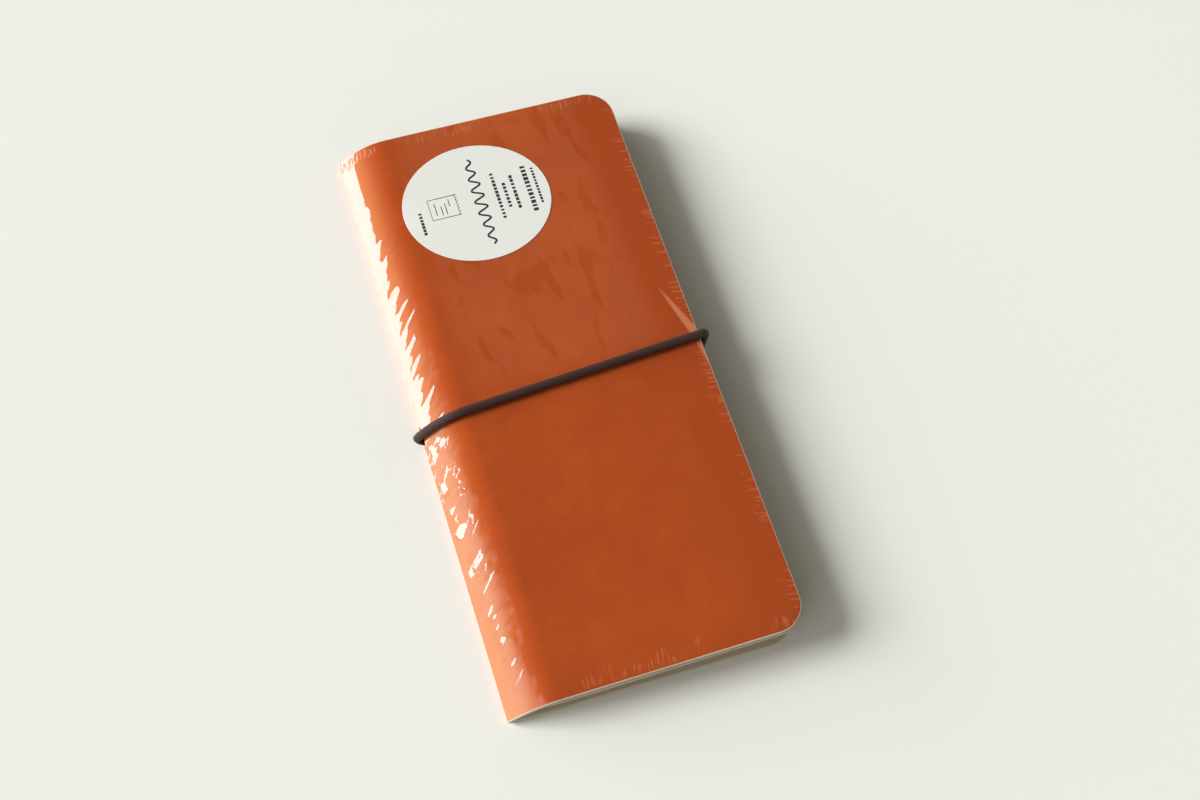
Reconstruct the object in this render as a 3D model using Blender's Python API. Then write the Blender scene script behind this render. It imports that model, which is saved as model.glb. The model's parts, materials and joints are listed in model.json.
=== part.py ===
"""Receipt holder: a leather cover folded round an accordion file of seven pockets.

The holder lies closed on its back. X runs across it, from the spine at -X to the flap's free
edge at +X, Y runs along it, and Z is up. The mouths of the pockets face the spine, and their
closed floors lie by the flap's free edge. An elastic loop holds the cover shut.
"""

import math

import bmesh
import bpy
from mathutils import Matrix, Vector

# Whole holder
LENGTH = 0.180
WIDTH = 0.085
CORNER_RADIUS = 0.0085
CORNER_STEPS = 6

# Cover, counted from the outside in
BACK_SKIN = 0.0013
FLAP_SKIN = 0.0009
BACK_BOARD = 0.0005
FLAP_BOARD = 0.0004
LINING = 0.0003
LAYER_GAP = 0.00015
LINING_PEEK = 0.0003
BOARD_INSET = 0.0015
FOLD_GAP = 0.0002

# Folds of the cover
BACK_FOLD_RADIUS = 0.0016
BACK_FOLD_SKIN = 0.0013
FLAP_FOLD_RADIUS = 0.015
FLAP_FOLD_TURN = math.radians(20)
SPINE_BULGE = math.radians(15)
FOLD_STEPS = 8
SPINE_STEPS = 8

# Accordion file
POCKETS = 7
LEAF = 0.00025
PITCH_AT_FLOOR = 0.00127
PITCH_AT_MOUTH = 0.00076
MOUTH_INSET = 0.0135
FLOOR_INSET = 0.0025
LEAF_END_INSET = 0.003
MOUTH_CORNER = 0.005
FRONT_SKIN = 0.0005
STACK_GAP = 0.0002
FLOOR_STRIP = 0.0018
FLOOR_NOSE = 0.0006
FLOOR_GAP = 0.0002
GUSSET_DEPTH = 0.007
GUSSET_GAP = 0.00012
GUSSET_MARGIN = 0.0004

# Elastic loop and its anchor
CORD = 0.0025
CORD_GAP = 0.00025
CORD_FLAT = 0.00075
CORD_LIFT = 0.0001
CORD_AT_SPINE = -0.0045
CORD_SKEW = 0.0050
CORD_SIDES = 10
CORD_TURN_STEPS = 4
GROOVE_GAP = 0.0002
KNOT_NECK = 0.0022
KNOT_HOLE_GAP = 0.0004
KNOT_BULB = 0.0048
KNOT_HEIGHT = 0.0024
KNOT_SIDES = 16

# Paper label on the flap
LABEL_ACROSS = 0.045
LABEL_ALONG = 0.0395
LABEL_SHEET = 0.00012
LABEL_GAP = 0.00008
LABEL_FROM_FORE_EDGE = 0.050
LABEL_FROM_FAR_END = 0.029
LABEL_SIDES = 48

CUT_OVERRUN = 0.002

HALF_WIDTH = WIDTH / 2
HALF_LENGTH = LENGTH / 2
BACK_THICKNESS = BACK_SKIN + LAYER_GAP + BACK_BOARD
FLAP_THICKNESS = FLAP_SKIN + LAYER_GAP + FLAP_BOARD + LAYER_GAP + LINING
FLOOR_X = HALF_WIDTH - FLOOR_INSET
LEAF_WIDTH = WIDTH - MOUTH_INSET - FLOOR_INSET
LEAF_HALF_LENGTH = HALF_LENGTH - LEAF_END_INSET
LEAF_TILT = math.asin((PITCH_AT_FLOOR - PITCH_AT_MOUTH) / LEAF_WIDTH)
FLAP_TILT = POCKETS * LEAF_TILT
CORD_FLAT_Z = CORD_LIFT + CORD_FLAT / 2
CORD_TURN_TOP = 2 * CORD
GROOVE_DEPTH = CORD_LIFT + CORD_FLAT + GROOVE_GAP

# The cord's thickness and width add up to this, however hard it is pressed
CORD_SPREAD = 2 * CORD
GROOVE_WIDTH = CORD_SPREAD - CORD_FLAT + 2 * GROOVE_GAP

# Shares of the cord's turn at its chosen stations, and how far it is back to round there
FORE_TURN_SHARES = ((0.0, 0.72), (0.34, 0.5), (0.7, 0.2))
SPINE_TURN_SHARES = ((0.4, 0.15), (0.7, 0.5), (1.0, 1.0))

# Shares of the knot's radius and height at the points of its outline
KNOT_SHARES = ((0.8, 0.0), (1.0, 0.3), (1.0, 0.7), (0.6, 1.0))

# Shares of a floor's height between which its nose is widest
NOSE_SHARES = (0.25, 0.75)


def colour_material(name, rgb, roughness):
    """Return a Principled material of one colour."""
    material = bpy.data.materials.new(name)
    material.use_nodes = True
    shader = material.node_tree.nodes["Principled BSDF"]
    shader.inputs["Base Color"].default_value = (*rgb, 1)
    shader.inputs["Roughness"].default_value = roughness
    shader.inputs["Metallic"].default_value = 0
    material.diffuse_color = (*rgb, 1)
    return material


def add_piece(name, mesh, material, parent=None):
    """Link a mesh as a named object that sits on its parent's origin."""
    mesh.materials.append(material)
    piece = bpy.data.objects.new(name, mesh)
    bpy.context.scene.collection.objects.link(piece)
    piece.parent = parent
    return piece


def add_axis(name, matrix, parent=None):
    """Add an empty whose origin lies on a joint's axis, placed in its parent's frame."""
    axis = bpy.data.objects.new(name, None)
    axis.empty_display_size = CORNER_RADIUS
    bpy.context.scene.collection.objects.link(axis)
    axis.parent = parent
    axis.matrix_local = matrix
    return axis


def prism(name, outline, lift):
    """Return a closed mesh: an outline of 3-D points, pushed along the lift vector."""
    mesh = bpy.data.meshes.new(name)
    bm = bmesh.new()
    face = bm.faces.new([bm.verts.new(point) for point in outline])
    pushed = bmesh.ops.extrude_face_region(bm, geom=[face])["geom"]
    top = [item for item in pushed if isinstance(item, bmesh.types.BMVert)]
    bmesh.ops.translate(bm, verts=top, vec=lift)
    bmesh.ops.recalc_face_normals(bm, faces=bm.faces)
    bm.to_mesh(mesh)
    bm.free()
    return mesh


def plate(name, outline, low, thickness):
    """Return a flat sheet: an XY outline between two heights."""
    return prism(name, [(x, y, low) for x, y in outline], Vector((0, 0, thickness)))


def strip(name, profile, near, far):
    """Return a strip: an XZ profile that runs along Y from near to far."""
    return prism(name, [(x, near, z) for x, z in profile], Vector((0, far - near, 0)))


def arc_points(centre, radius, start, end, steps):
    """Return points along an arc, as pairs."""
    angles = [start + (end - start) * step / steps for step in range(steps + 1)]
    return [(centre[0] + radius * math.cos(a), centre[1] + radius * math.sin(a)) for a in angles]


def panel_outline(left, right, half_length, left_radius=0.0, right_radius=0.0):
    """Return a rectangle's outline whose corners may be rounded, left and right apart."""
    corners = (
        (right - right_radius, half_length - right_radius, right_radius, 0),
        (left + left_radius, half_length - left_radius, left_radius, 90),
        (left + left_radius, left_radius - half_length, left_radius, 180),
        (right - right_radius, right_radius - half_length, right_radius, 270),
    )
    outline = []
    for x, y, radius, degrees in corners:
        if radius:
            start = math.radians(degrees)
            outline += arc_points((x, y), radius, start, start + math.radians(90), CORNER_STEPS)
        else:
            outline.append((x, y))
    return outline


def cut_through(piece, cutter):
    """Cut one piece with another, which is kept as a hidden guide."""
    cutter.hide_render = True
    cutter.display_type = "WIRE"
    modifier = piece.modifiers.new("cut", "BOOLEAN")
    modifier.operation = "DIFFERENCE"
    modifier.solver = "EXACT"
    modifier.object = cutter


class CoverLine:
    """The cover's outer surface, seen from its near end.

    It runs from the back's edge round the back fold, along the bulged spine, over the flap
    fold and onto the flap. A heading is the angle of travel above +X.
    """

    def __init__(self, flap_height_at_floor):
        self.spine_low = FLAP_TILT + FLAP_FOLD_TURN + 2 * SPINE_BULGE
        self.spine_high = FLAP_TILT + FLAP_FOLD_TURN
        self.back_end = (-HALF_WIDTH + BACK_FOLD_RADIUS, 0.0)
        self.back_centre = (self.back_end[0], BACK_FOLD_RADIUS)
        self.spine_start = self.on_arc(self.back_centre, BACK_FOLD_RADIUS, self.spine_low)
        slope = math.tan(FLAP_TILT)
        fold_x, fold_z = self.turn(FLAP_FOLD_RADIUS, self.spine_high, FLAP_TILT)
        unit_x, unit_z = self.turn(1.0, self.spine_low, self.spine_high)
        rise = flap_height_at_floor + slope * (self.spine_start[0] + fold_x - FLOOR_X)
        rise -= self.spine_start[1] + fold_z
        self.spine_radius = rise / (unit_z - slope * unit_x)
        self.spine_end = (self.spine_start[0] + self.spine_radius * unit_x,
                          self.spine_start[1] + self.spine_radius * unit_z)
        self.flap_start = (self.spine_end[0] + fold_x, self.spine_end[1] + fold_z)
        self.spine_centre = self.arc_centre(self.spine_start, self.spine_radius, self.spine_low)
        self.fold_centre = self.arc_centre(self.spine_end, FLAP_FOLD_RADIUS, self.spine_high)

    @staticmethod
    def normal(heading):
        """Return the outward normal of the surface at a heading."""
        return (-math.sin(heading), math.cos(heading))

    def turn(self, radius, start, end):
        """Return the step along an arc of the outer surface between two headings."""
        first, last = self.normal(start), self.normal(end)
        return (radius * (last[0] - first[0]), radius * (last[1] - first[1]))

    def on_arc(self, centre, radius, heading):
        """Return the point of an arc where the surface has a heading."""
        out = self.normal(heading)
        return (centre[0] + radius * out[0], centre[1] + radius * out[1])

    def arc_centre(self, point, radius, heading):
        """Return the centre of an arc that passes a point at a heading."""
        out = self.normal(heading)
        return (point[0] - radius * out[0], point[1] - radius * out[1])

    def band(self, centre, radius, start, end, depth, thickness, steps):
        """Return the profile of a curved layer, between two depths under the surface."""
        headings = [start + (end - start) * step / steps for step in range(steps + 1)]
        outer = [self.on_arc(centre, radius - depth, h) for h in headings]
        inner = [self.on_arc(centre, radius - depth - thickness, h) for h in reversed(headings)]
        return outer + inner

    def fold_axis(self, point, radius, heading, turned, skin):
        """Return the axis about which a fold keeps its own length when it is laid flat.

        The axis lies on the fold's bisector, as deep under both tangents as makes the way
        between the fold's two ends equal to the length of the skin's middle layer.
        """
        half = turned / 2
        depth = (radius * math.tan(half) - (radius - skin / 2) * half) / math.tan(half)
        centre = self.arc_centre(point, radius, heading)
        outward = self.normal(heading - half)
        reach = (radius - depth) / math.cos(half)
        return (centre[0] + reach * outward[0], centre[1] + reach * outward[1])


def y_tilt(angle):
    """Return a rotation that dips the -X side by an angle."""
    return Matrix.Rotation(-angle, 4, "Y")


def cord_middle(x):
    """Return where the cord's middle runs along Y at x."""
    return CORD_AT_SPINE + CORD_SKEW * (x + HALF_WIDTH) / WIDTH


def cord_route(line):
    """Return the cord's stations as (x, z, thickness), once round the closed holder."""
    offset = CORD_GAP + CORD / 2
    side = HALF_WIDTH + offset
    fore_end, spine_end = HALF_WIDTH, line.back_end[0]
    stations = [(fore_end, CORD_FLAT_Z, CORD_FLAT), (spine_end, CORD_FLAT_Z, CORD_FLAT)]

    for share, roundness in SPINE_TURN_SHARES:
        x = spine_end - (side + spine_end) * math.sin(share * math.pi / 2)
        z = CORD_FLAT_Z + BACK_FOLD_RADIUS * (1 - math.cos(share * math.pi / 2))
        stations.append((x, z, CORD_FLAT + (CORD - CORD_FLAT) * roundness))

    for step in range(SPINE_STEPS // 2 + 1):
        heading = line.spine_low - 2 * SPINE_BULGE * step / (SPINE_STEPS // 2)
        stations.append((*line.on_arc(line.spine_centre, line.spine_radius + offset, heading), CORD))
    for step in range(1, FOLD_STEPS // 2 + 1):
        heading = line.spine_high - FLAP_FOLD_TURN * step / (FOLD_STEPS // 2)
        stations.append((*line.on_arc(line.fold_centre, FLAP_FOLD_RADIUS + offset, heading), CORD))

    corner = (HALF_WIDTH, line.flap_start[1] + (HALF_WIDTH - line.flap_start[0]) * math.tan(FLAP_TILT))
    flap_middle = line.flap_start[0] / 2 + corner[0] / 2, line.flap_start[1] / 2 + corner[1] / 2
    out = line.normal(FLAP_TILT)
    stations.append((flap_middle[0] + offset * out[0], flap_middle[1] + offset * out[1], CORD))
    for step in range(CORD_TURN_STEPS + 1):
        heading = FLAP_TILT - (FLAP_TILT + math.pi / 2) * step / CORD_TURN_STEPS
        stations.append((*line.on_arc(corner, offset, heading), CORD))

    stations.append((side, CORD_TURN_TOP, CORD))
    for share, roundness in FORE_TURN_SHARES:
        x = side - (side - fore_end) * (1 - math.cos(share * math.pi / 2))
        z = CORD_FLAT_Z + (CORD - CORD_FLAT_Z) * (1 - math.sin(share * math.pi / 2))
        stations.append((x, z, CORD_FLAT + (CORD - CORD_FLAT) * roundness))
    return stations


def cord_mesh(name, stations):
    """Return the cord: an oval section carried round a closed route."""
    mesh = bpy.data.meshes.new(name)
    bm = bmesh.new()
    rings = []
    for index, (x, z, thickness) in enumerate(stations):
        before = Vector(stations[index - 1][:2])
        after = Vector(stations[(index + 1) % len(stations)][:2])
        here = Vector((x, z))
        ahead = (here - before).normalized() + (after - here).normalized()
        ahead.normalize()
        across = Vector((-ahead.y, ahead.x))
        width = CORD_SPREAD - thickness
        middle = cord_middle(x)
        ring = []
        for side in range(CORD_SIDES):
            angle = 2 * math.pi * side / CORD_SIDES
            reach = thickness / 2 * math.sin(angle)
            y = middle + width / 2 * math.cos(angle)
            ring.append(bm.verts.new((x + across.x * reach, y, z + across.y * reach)))
        rings.append(ring)
    for index, ring in enumerate(rings):
        following = rings[(index + 1) % len(rings)]
        for side in range(CORD_SIDES):
            after = (side + 1) % CORD_SIDES
            bm.faces.new((ring[side], ring[after], following[after], following[side]))
    bmesh.ops.recalc_face_normals(bm, faces=bm.faces)
    bm.to_mesh(mesh)
    bm.free()
    mesh.shade_smooth()
    return mesh


def groove_cutter(left, right):
    """Return the guide that presses the cord's groove into the back."""
    half = GROOVE_WIDTH / 2
    left_y, right_y = cord_middle(left), cord_middle(right)
    outline = ((left, left_y - half), (right, right_y - half),
               (right, right_y + half), (left, left_y + half))
    mesh = plate("cord_groove_cut", outline, -CUT_OVERRUN, CUT_OVERRUN + GROOVE_DEPTH)
    cutter = bpy.data.objects.new("cord_groove_cut", mesh)
    bpy.context.scene.collection.objects.link(cutter)
    return cutter


def build_back(leather, board):
    """Build the back panel, which is the root of the holder."""
    left = -HALF_WIDTH + BACK_FOLD_RADIUS + FOLD_GAP
    right = HALF_WIDTH - LINING_PEEK
    outline = panel_outline(left, right, HALF_LENGTH - LINING_PEEK, right_radius=CORNER_RADIUS)
    skin = add_piece("back_leather", plate("back_leather", outline, 0.0, BACK_SKIN), leather)
    cut_through(skin, groove_cutter(left - CUT_OVERRUN, right + CUT_OVERRUN))

    outline = panel_outline(left + BOARD_INSET, HALF_WIDTH - BOARD_INSET, HALF_LENGTH - BOARD_INSET,
                            right_radius=CORNER_RADIUS - BOARD_INSET)
    add_piece("back_board", plate("back_board", outline, BACK_SKIN + LAYER_GAP, BACK_BOARD), board)


def build_back_fold(line, leather):
    """Build the tight fold between back and spine, notched where the cord passes it."""
    clear = FOLD_GAP / BACK_FOLD_RADIUS
    profile = line.band(line.back_centre, BACK_FOLD_RADIUS, math.pi, line.spine_low + clear,
                        0.0, BACK_FOLD_SKIN, FOLD_STEPS)
    half = HALF_LENGTH - LINING_PEEK
    fold = add_piece("back_fold", strip("back_fold", profile, -half, half), leather)
    notch = line.band(line.back_centre, BACK_FOLD_RADIUS + CUT_OVERRUN, math.pi + clear, line.spine_low,
                      0.0, CUT_OVERRUN + GROOVE_DEPTH, FOLD_STEPS)
    middle = cord_middle(line.back_end[0])
    mesh = strip("back_fold_cut", notch, middle - GROOVE_WIDTH / 2, middle + GROOVE_WIDTH / 2)
    cutter = add_piece("back_fold_cut", mesh, leather)
    cut_through(fold, cutter)


def build_spine(line, axis, leather, lining, cord_finish):
    """Build the bulged spine, its lining and the knot that anchors the cord."""
    half = HALF_LENGTH - LINING_PEEK
    clear = FOLD_GAP / line.spine_radius
    start, end = line.spine_low - clear, line.spine_high + clear
    to_axis = Matrix.Translation((-axis.location.x, 0, -axis.location.z))

    def curved(name, depth, thickness, inset, material):
        profile = line.band(line.spine_centre, line.spine_radius, start - inset, end + inset,
                            depth, thickness, SPINE_STEPS)
        mesh = strip(name, profile, -half, half)
        mesh.transform(to_axis)
        return add_piece(name, mesh, material, axis)

    skin = curved("spine_leather", 0.0, FLAP_SKIN, 0.0, leather)
    under = curved("spine_lining", FLAP_SKIN + LAYER_GAP, LINING, clear, lining)

    heading = line.spine_high + SPINE_BULGE
    out = line.normal(heading)
    surface = line.on_arc(line.spine_centre, line.spine_radius, heading)
    place = to_axis @ Matrix.Translation((surface[0], cord_middle(surface[0]), surface[1]))
    place = place @ Vector((0, 0, 1)).rotation_difference(Vector((out[0], 0, out[1]))).to_matrix().to_4x4()

    hole = bpy.data.meshes.new("cord_hole_cut")
    bm = bmesh.new()
    bmesh.ops.create_cone(bm, cap_ends=True, segments=KNOT_SIDES,
                          radius1=KNOT_NECK / 2 + KNOT_HOLE_GAP, radius2=KNOT_NECK / 2 + KNOT_HOLE_GAP,
                          depth=2 * CUT_OVERRUN + FLAP_SKIN)
    bm.to_mesh(hole)
    bm.free()
    hole.transform(place)
    cutter = add_piece("cord_hole_cut", hole, lining, axis)
    cut_through(skin, cutter)
    cut_through(under, cutter)

    neck, bulb = KNOT_NECK / 2, KNOT_BULB / 2
    top = -KNOT_HOLE_GAP / 2
    shoulder = -(FLAP_SKIN + LAYER_GAP + LINING + LAYER_GAP)
    outline = [(neck, top), (neck, shoulder)]
    outline += [(bulb * wide, shoulder - KNOT_HEIGHT * deep) for wide, deep in KNOT_SHARES]
    knot = bpy.data.meshes.new("cord_knot")
    bm = bmesh.new()
    rings = []
    for radius, z in outline:
        angles = [2 * math.pi * side / KNOT_SIDES for side in range(KNOT_SIDES)]
        rings.append([bm.verts.new((radius * math.cos(a), radius * math.sin(a), z)) for a in angles])
    bm.faces.new(rings[0])
    bm.faces.new(rings[-1])
    for upper, lower in zip(rings, rings[1:]):
        for side in range(KNOT_SIDES):
            after = (side + 1) % KNOT_SIDES
            bm.faces.new((upper[side], upper[after], lower[after], lower[side]))
    bmesh.ops.recalc_face_normals(bm, faces=bm.faces)
    bm.to_mesh(knot)
    bm.free()
    knot.transform(place)
    add_piece("cord_knot", knot, cord_finish, axis)

    clear = FOLD_GAP / FLAP_FOLD_RADIUS
    profile = line.band(line.fold_centre, FLAP_FOLD_RADIUS, line.spine_high - clear,
                        FLAP_TILT + clear, 0.0, FLAP_SKIN, FOLD_STEPS)
    fold = strip("flap_fold", profile, -half, half)
    fold.transform(to_axis)
    add_piece("flap_fold", fold, leather, axis)


def build_flap(line, axis, axis_point, leather, board, lining, paper):
    """Build the flap's layers in the flap's own tilted frame, and the label on it."""
    along = (math.cos(FLAP_TILT), math.sin(FLAP_TILT))
    out = line.normal(FLAP_TILT)
    from_axis = (line.flap_start[0] - axis_point[0], line.flap_start[1] - axis_point[1])
    surface = from_axis[0] * out[0] + from_axis[1] * out[1]
    left = from_axis[0] * along[0] + from_axis[1] * along[1] + FOLD_GAP
    right = left - FOLD_GAP + (HALF_WIDTH - line.flap_start[0]) / math.cos(FLAP_TILT)

    outline = panel_outline(left, right - LINING_PEEK, HALF_LENGTH - LINING_PEEK,
                            right_radius=CORNER_RADIUS)
    low = surface - FLAP_SKIN
    add_piece("flap_leather", plate("flap_leather", outline, low, FLAP_SKIN), leather, axis)

    low -= LAYER_GAP + FLAP_BOARD
    outline = panel_outline(left + BOARD_INSET, right - BOARD_INSET, HALF_LENGTH - BOARD_INSET,
                            right_radius=CORNER_RADIUS - BOARD_INSET)
    add_piece("flap_board", plate("flap_board", outline, low, FLAP_BOARD), board, axis)

    low -= LAYER_GAP + LINING
    outline = panel_outline(left, right, HALF_LENGTH, right_radius=CORNER_RADIUS)
    add_piece("flap_lining", plate("flap_lining", outline, low, LINING), lining, axis)

    centre = (right - LABEL_FROM_FORE_EDGE, HALF_LENGTH - LABEL_FROM_FAR_END)
    angles = [2 * math.pi * side / LABEL_SIDES for side in range(LABEL_SIDES)]
    outline = [(centre[0] + LABEL_ACROSS / 2 * math.cos(a), centre[1] + LABEL_ALONG / 2 * math.sin(a))
               for a in angles]
    mesh = plate("paper_label", outline, surface + LABEL_GAP, LABEL_SHEET)
    add_piece("paper_label", mesh, paper, axis)


def leaf_outline():
    """Return a leaf's outline, with its mouth at -X and its floor on the axis."""
    return panel_outline(-LEAF_WIDTH, 0.0, LEAF_HALF_LENGTH, left_radius=MOUTH_CORNER)


def build_pocket_sides(index, axis, leather):
    """Build a pocket's floor fold and its two end gussets, on the leaf below it."""
    low = LEAF + FLOOR_GAP
    height = PITCH_AT_FLOOR - LEAF - 2 * FLOOR_GAP
    nose = [(FLOOR_NOSE, low + height * share) for share in NOSE_SHARES]
    slope = math.tan(LEAF_TILT)
    profile = [(-FLOOR_STRIP, low), (0.0, low), *nose, (0.0, low + height),
               (-FLOOR_STRIP, low + height - FLOOR_STRIP * slope)]
    mesh = strip(f"pocket_floor_{index}", profile, -LEAF_HALF_LENGTH, LEAF_HALF_LENGTH)
    add_piece(f"pocket_floor_{index}", mesh, leather, axis)

    floor_end = -FLOOR_STRIP - GUSSET_MARGIN
    mouth_end = -LEAF_WIDTH + MOUTH_CORNER
    bottom = LEAF + GUSSET_GAP
    ceiling = PITCH_AT_FLOOR - GUSSET_GAP
    profile = [(mouth_end, bottom), (floor_end, bottom),
               (floor_end, ceiling + floor_end * slope), (mouth_end, ceiling + mouth_end * slope)]
    for end, sign in (("near", -1), ("far", 1)):
        outer = sign * LEAF_HALF_LENGTH
        inner = outer - sign * GUSSET_DEPTH
        name = f"{end}_gusset_{index}"
        mesh = strip(name, profile, min(outer, inner), max(outer, inner))
        add_piece(name, mesh, leather, axis)


def build_accordion(leather, card):
    """Build the walls, floors and gussets, leaf upon leaf, and return the leaves' axes."""
    base = Matrix.Translation((FLOOR_X, 0, BACK_THICKNESS + LAYER_GAP))
    axis = add_axis("file_axis", base)
    add_piece("file_back_wall", plate("file_back_wall", leaf_outline(), 0.0, LEAF), card, axis)
    step = Matrix.Translation((0, 0, PITCH_AT_FLOOR)) @ y_tilt(LEAF_TILT)
    axes = [axis]
    for index in range(1, POCKETS + 1):
        build_pocket_sides(index, axis, leather)
        axis = add_axis(f"pocket_{index}_axis", step, axis)
        name = "file_front_wall" if index == POCKETS else f"divider_{index}"
        add_piece(name, plate(name, leaf_outline(), 0.0, LEAF), card, axis)
        axes.append(axis)
    mesh = plate("front_leather", leaf_outline(), LEAF + LAYER_GAP, FRONT_SKIN)
    add_piece("front_leather", mesh, leather, axis)
    return axes


def main():
    for item in list(bpy.data.objects):
        bpy.data.objects.remove(item, do_unlink=True)

    leather = colour_material("tan_leather", (0.42, 0.075, 0.016), 0.45)
    file_leather = colour_material("file_leather", (0.30, 0.055, 0.015), 0.5)
    board = colour_material("grey_board", (0.32, 0.28, 0.22), 0.8)
    lining = colour_material("cream_lining", (0.62, 0.52, 0.38), 0.7)
    card = colour_material("file_card", (0.33, 0.07, 0.02), 0.6)
    paper = colour_material("label_paper", (0.78, 0.79, 0.74), 0.6)
    cord_finish = colour_material("elastic_cord", (0.025, 0.014, 0.014), 0.6)

    axes = build_accordion(file_leather, card)
    bpy.context.view_layer.update()
    stack_top = LEAF + LAYER_GAP + FRONT_SKIN + STACK_GAP + FLAP_THICKNESS
    on_flap = axes[-1].matrix_world @ Vector((0, 0, stack_top))
    line = CoverLine(on_flap.z + (FLOOR_X - on_flap.x) * math.tan(FLAP_TILT))

    build_back(leather, board)
    build_back_fold(line, leather)

    spine_point = line.fold_axis(line.back_end, BACK_FOLD_RADIUS, math.pi,
                                 math.pi - line.spine_low, BACK_FOLD_SKIN)
    spine_axis = add_axis("spine_axis", Matrix.Translation((spine_point[0], 0, spine_point[1])))
    build_spine(line, spine_axis, leather, lining, cord_finish)

    flap_point = line.fold_axis(line.spine_end, FLAP_FOLD_RADIUS, line.spine_high,
                                FLAP_FOLD_TURN, FLAP_SKIN)
    step = Matrix.Translation((flap_point[0] - spine_point[0], 0, flap_point[1] - spine_point[1]))
    flap_axis = add_axis("flap_axis", step @ y_tilt(FLAP_TILT), spine_axis)
    build_flap(line, flap_axis, flap_point, leather, board, lining, paper)

    add_piece("elastic_cord", cord_mesh("elastic_cord", cord_route(line)), cord_finish)


main()
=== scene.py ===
"""Looks of the receipt holder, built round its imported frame.

The holder lies closed on its back. X runs from the spine to the flap's free edge, Y along the
holder to the end with the label, and Z up. All sizes are in metres, and angles in radians.
"""

from __future__ import annotations

import json
import logging
import math
from collections.abc import Callable, Sequence
from dataclasses import dataclass, field
from enum import Enum
from typing import TypeVar

import bmesh
import bpy
from mathutils import Matrix, Vector

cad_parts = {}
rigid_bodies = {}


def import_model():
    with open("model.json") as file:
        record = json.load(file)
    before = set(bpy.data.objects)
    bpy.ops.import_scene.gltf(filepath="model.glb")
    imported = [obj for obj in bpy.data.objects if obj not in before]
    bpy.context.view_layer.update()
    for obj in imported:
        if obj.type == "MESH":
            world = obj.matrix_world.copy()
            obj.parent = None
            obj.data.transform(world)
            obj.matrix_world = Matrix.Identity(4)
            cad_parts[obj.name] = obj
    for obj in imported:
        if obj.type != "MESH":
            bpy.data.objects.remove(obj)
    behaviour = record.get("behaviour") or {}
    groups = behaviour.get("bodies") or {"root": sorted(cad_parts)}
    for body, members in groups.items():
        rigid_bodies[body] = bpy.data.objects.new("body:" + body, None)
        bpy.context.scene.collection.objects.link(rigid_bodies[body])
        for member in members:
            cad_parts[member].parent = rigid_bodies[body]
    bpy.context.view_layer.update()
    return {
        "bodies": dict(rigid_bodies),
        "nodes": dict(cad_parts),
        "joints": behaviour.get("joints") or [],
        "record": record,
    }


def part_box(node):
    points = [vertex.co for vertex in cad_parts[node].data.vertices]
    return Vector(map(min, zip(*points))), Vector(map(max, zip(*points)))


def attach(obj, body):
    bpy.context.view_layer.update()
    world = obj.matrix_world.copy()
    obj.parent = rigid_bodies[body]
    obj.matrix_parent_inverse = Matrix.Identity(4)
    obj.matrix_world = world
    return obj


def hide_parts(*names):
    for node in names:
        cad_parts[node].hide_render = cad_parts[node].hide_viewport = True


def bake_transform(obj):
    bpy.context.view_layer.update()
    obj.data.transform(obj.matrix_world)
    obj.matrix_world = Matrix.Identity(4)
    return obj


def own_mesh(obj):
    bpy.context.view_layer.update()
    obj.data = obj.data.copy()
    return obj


LOG = logging.getLogger("receipt_holder")
FLAT_MAP = "sheet"

Item = TypeVar("Item")
Socket = bpy.types.NodeSocket
Value = float | Sequence[float] | Socket
Rgb = tuple[float, float, float]
Point = tuple[float, float, float]
Mesh = bmesh.types.BMesh
Vert = bmesh.types.BMVert


class Side(Enum):
    """The faces of a sheet, each with its own material."""

    OUTER = 0
    RIM = 1
    INNER = 2


class End(Enum):
    """The two ends of the holder."""

    NEAR = -1
    FAR = 1


class Tree:
    """A node tree, with short ways to add nodes to it."""

    def __init__(self, tree: bpy.types.NodeTree) -> None:
        """Keep the tree that the nodes go into."""
        self.tree = tree

    def set(self, socket: Socket, value: Value) -> None:
        """Link a socket, or give it a plain value.

        Args:
            socket: The input socket.
            value: Another node's output socket, a number or a colour.
        """
        if isinstance(value, Socket):
            self.tree.links.new(value, socket)
        elif isinstance(value, (int, float)):
            socket.default_value = value
        else:
            short = len(value) < len(socket.default_value)
            socket.default_value = (*value, 1.0) if short else value

    def add(self, kind: str, inputs: dict[str | int, Value], **settings: object) -> bpy.types.Node:
        """Add a node.

        Args:
            kind: The node's type name.
            inputs: Its inputs by name or place.
            settings: Its own properties.

        Returns:
            The new node.
        """
        node = self.tree.nodes.new(kind)
        for name, setting in settings.items():
            setattr(node, name, setting)
        for name, value in inputs.items():
            self.set(node.inputs[name], value)
        return node

    def maths(self, operation: str, *values: Value) -> Socket:
        """Return the result of a maths node."""
        return self.add("ShaderNodeMath", dict(enumerate(values)), operation=operation).outputs[0]

    def minus(self, one: Value, two: Value) -> Socket:
        """Return the difference of two values."""
        return self.maths("SUBTRACT", one, two)

    def times(self, product: Value, *others: Value) -> Value:
        """Return the product of two or more values.

        Args:
            product: The first value.
            others: The values that it is multiplied by.

        Returns:
            Their product.
        """
        for other in others:
            product = self.maths("MULTIPLY", product, other)
        return product

    def vector(self, operation: str, one: Value, two: Value) -> bpy.types.Node:
        """Return a vector maths node."""
        return self.add("ShaderNodeVectorMath", {0: one, 1: two}, operation=operation)

    def fade(self, value: Value, start: float, end: float) -> Socket:
        """Return a smooth step that is 0 at start and 1 at end."""
        inputs = {"Value": value, "From Min": start, "From Max": end}
        return self.add("ShaderNodeMapRange", inputs, interpolation_type="SMOOTHSTEP").outputs["Result"]

    def mix(self, factor: Value, first: Value, second: Value) -> Socket:
        """Return a blend of two colours."""
        return self.add("ShaderNodeMix", {0: factor, 6: first, 7: second}, data_type="RGBA").outputs[2]


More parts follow.
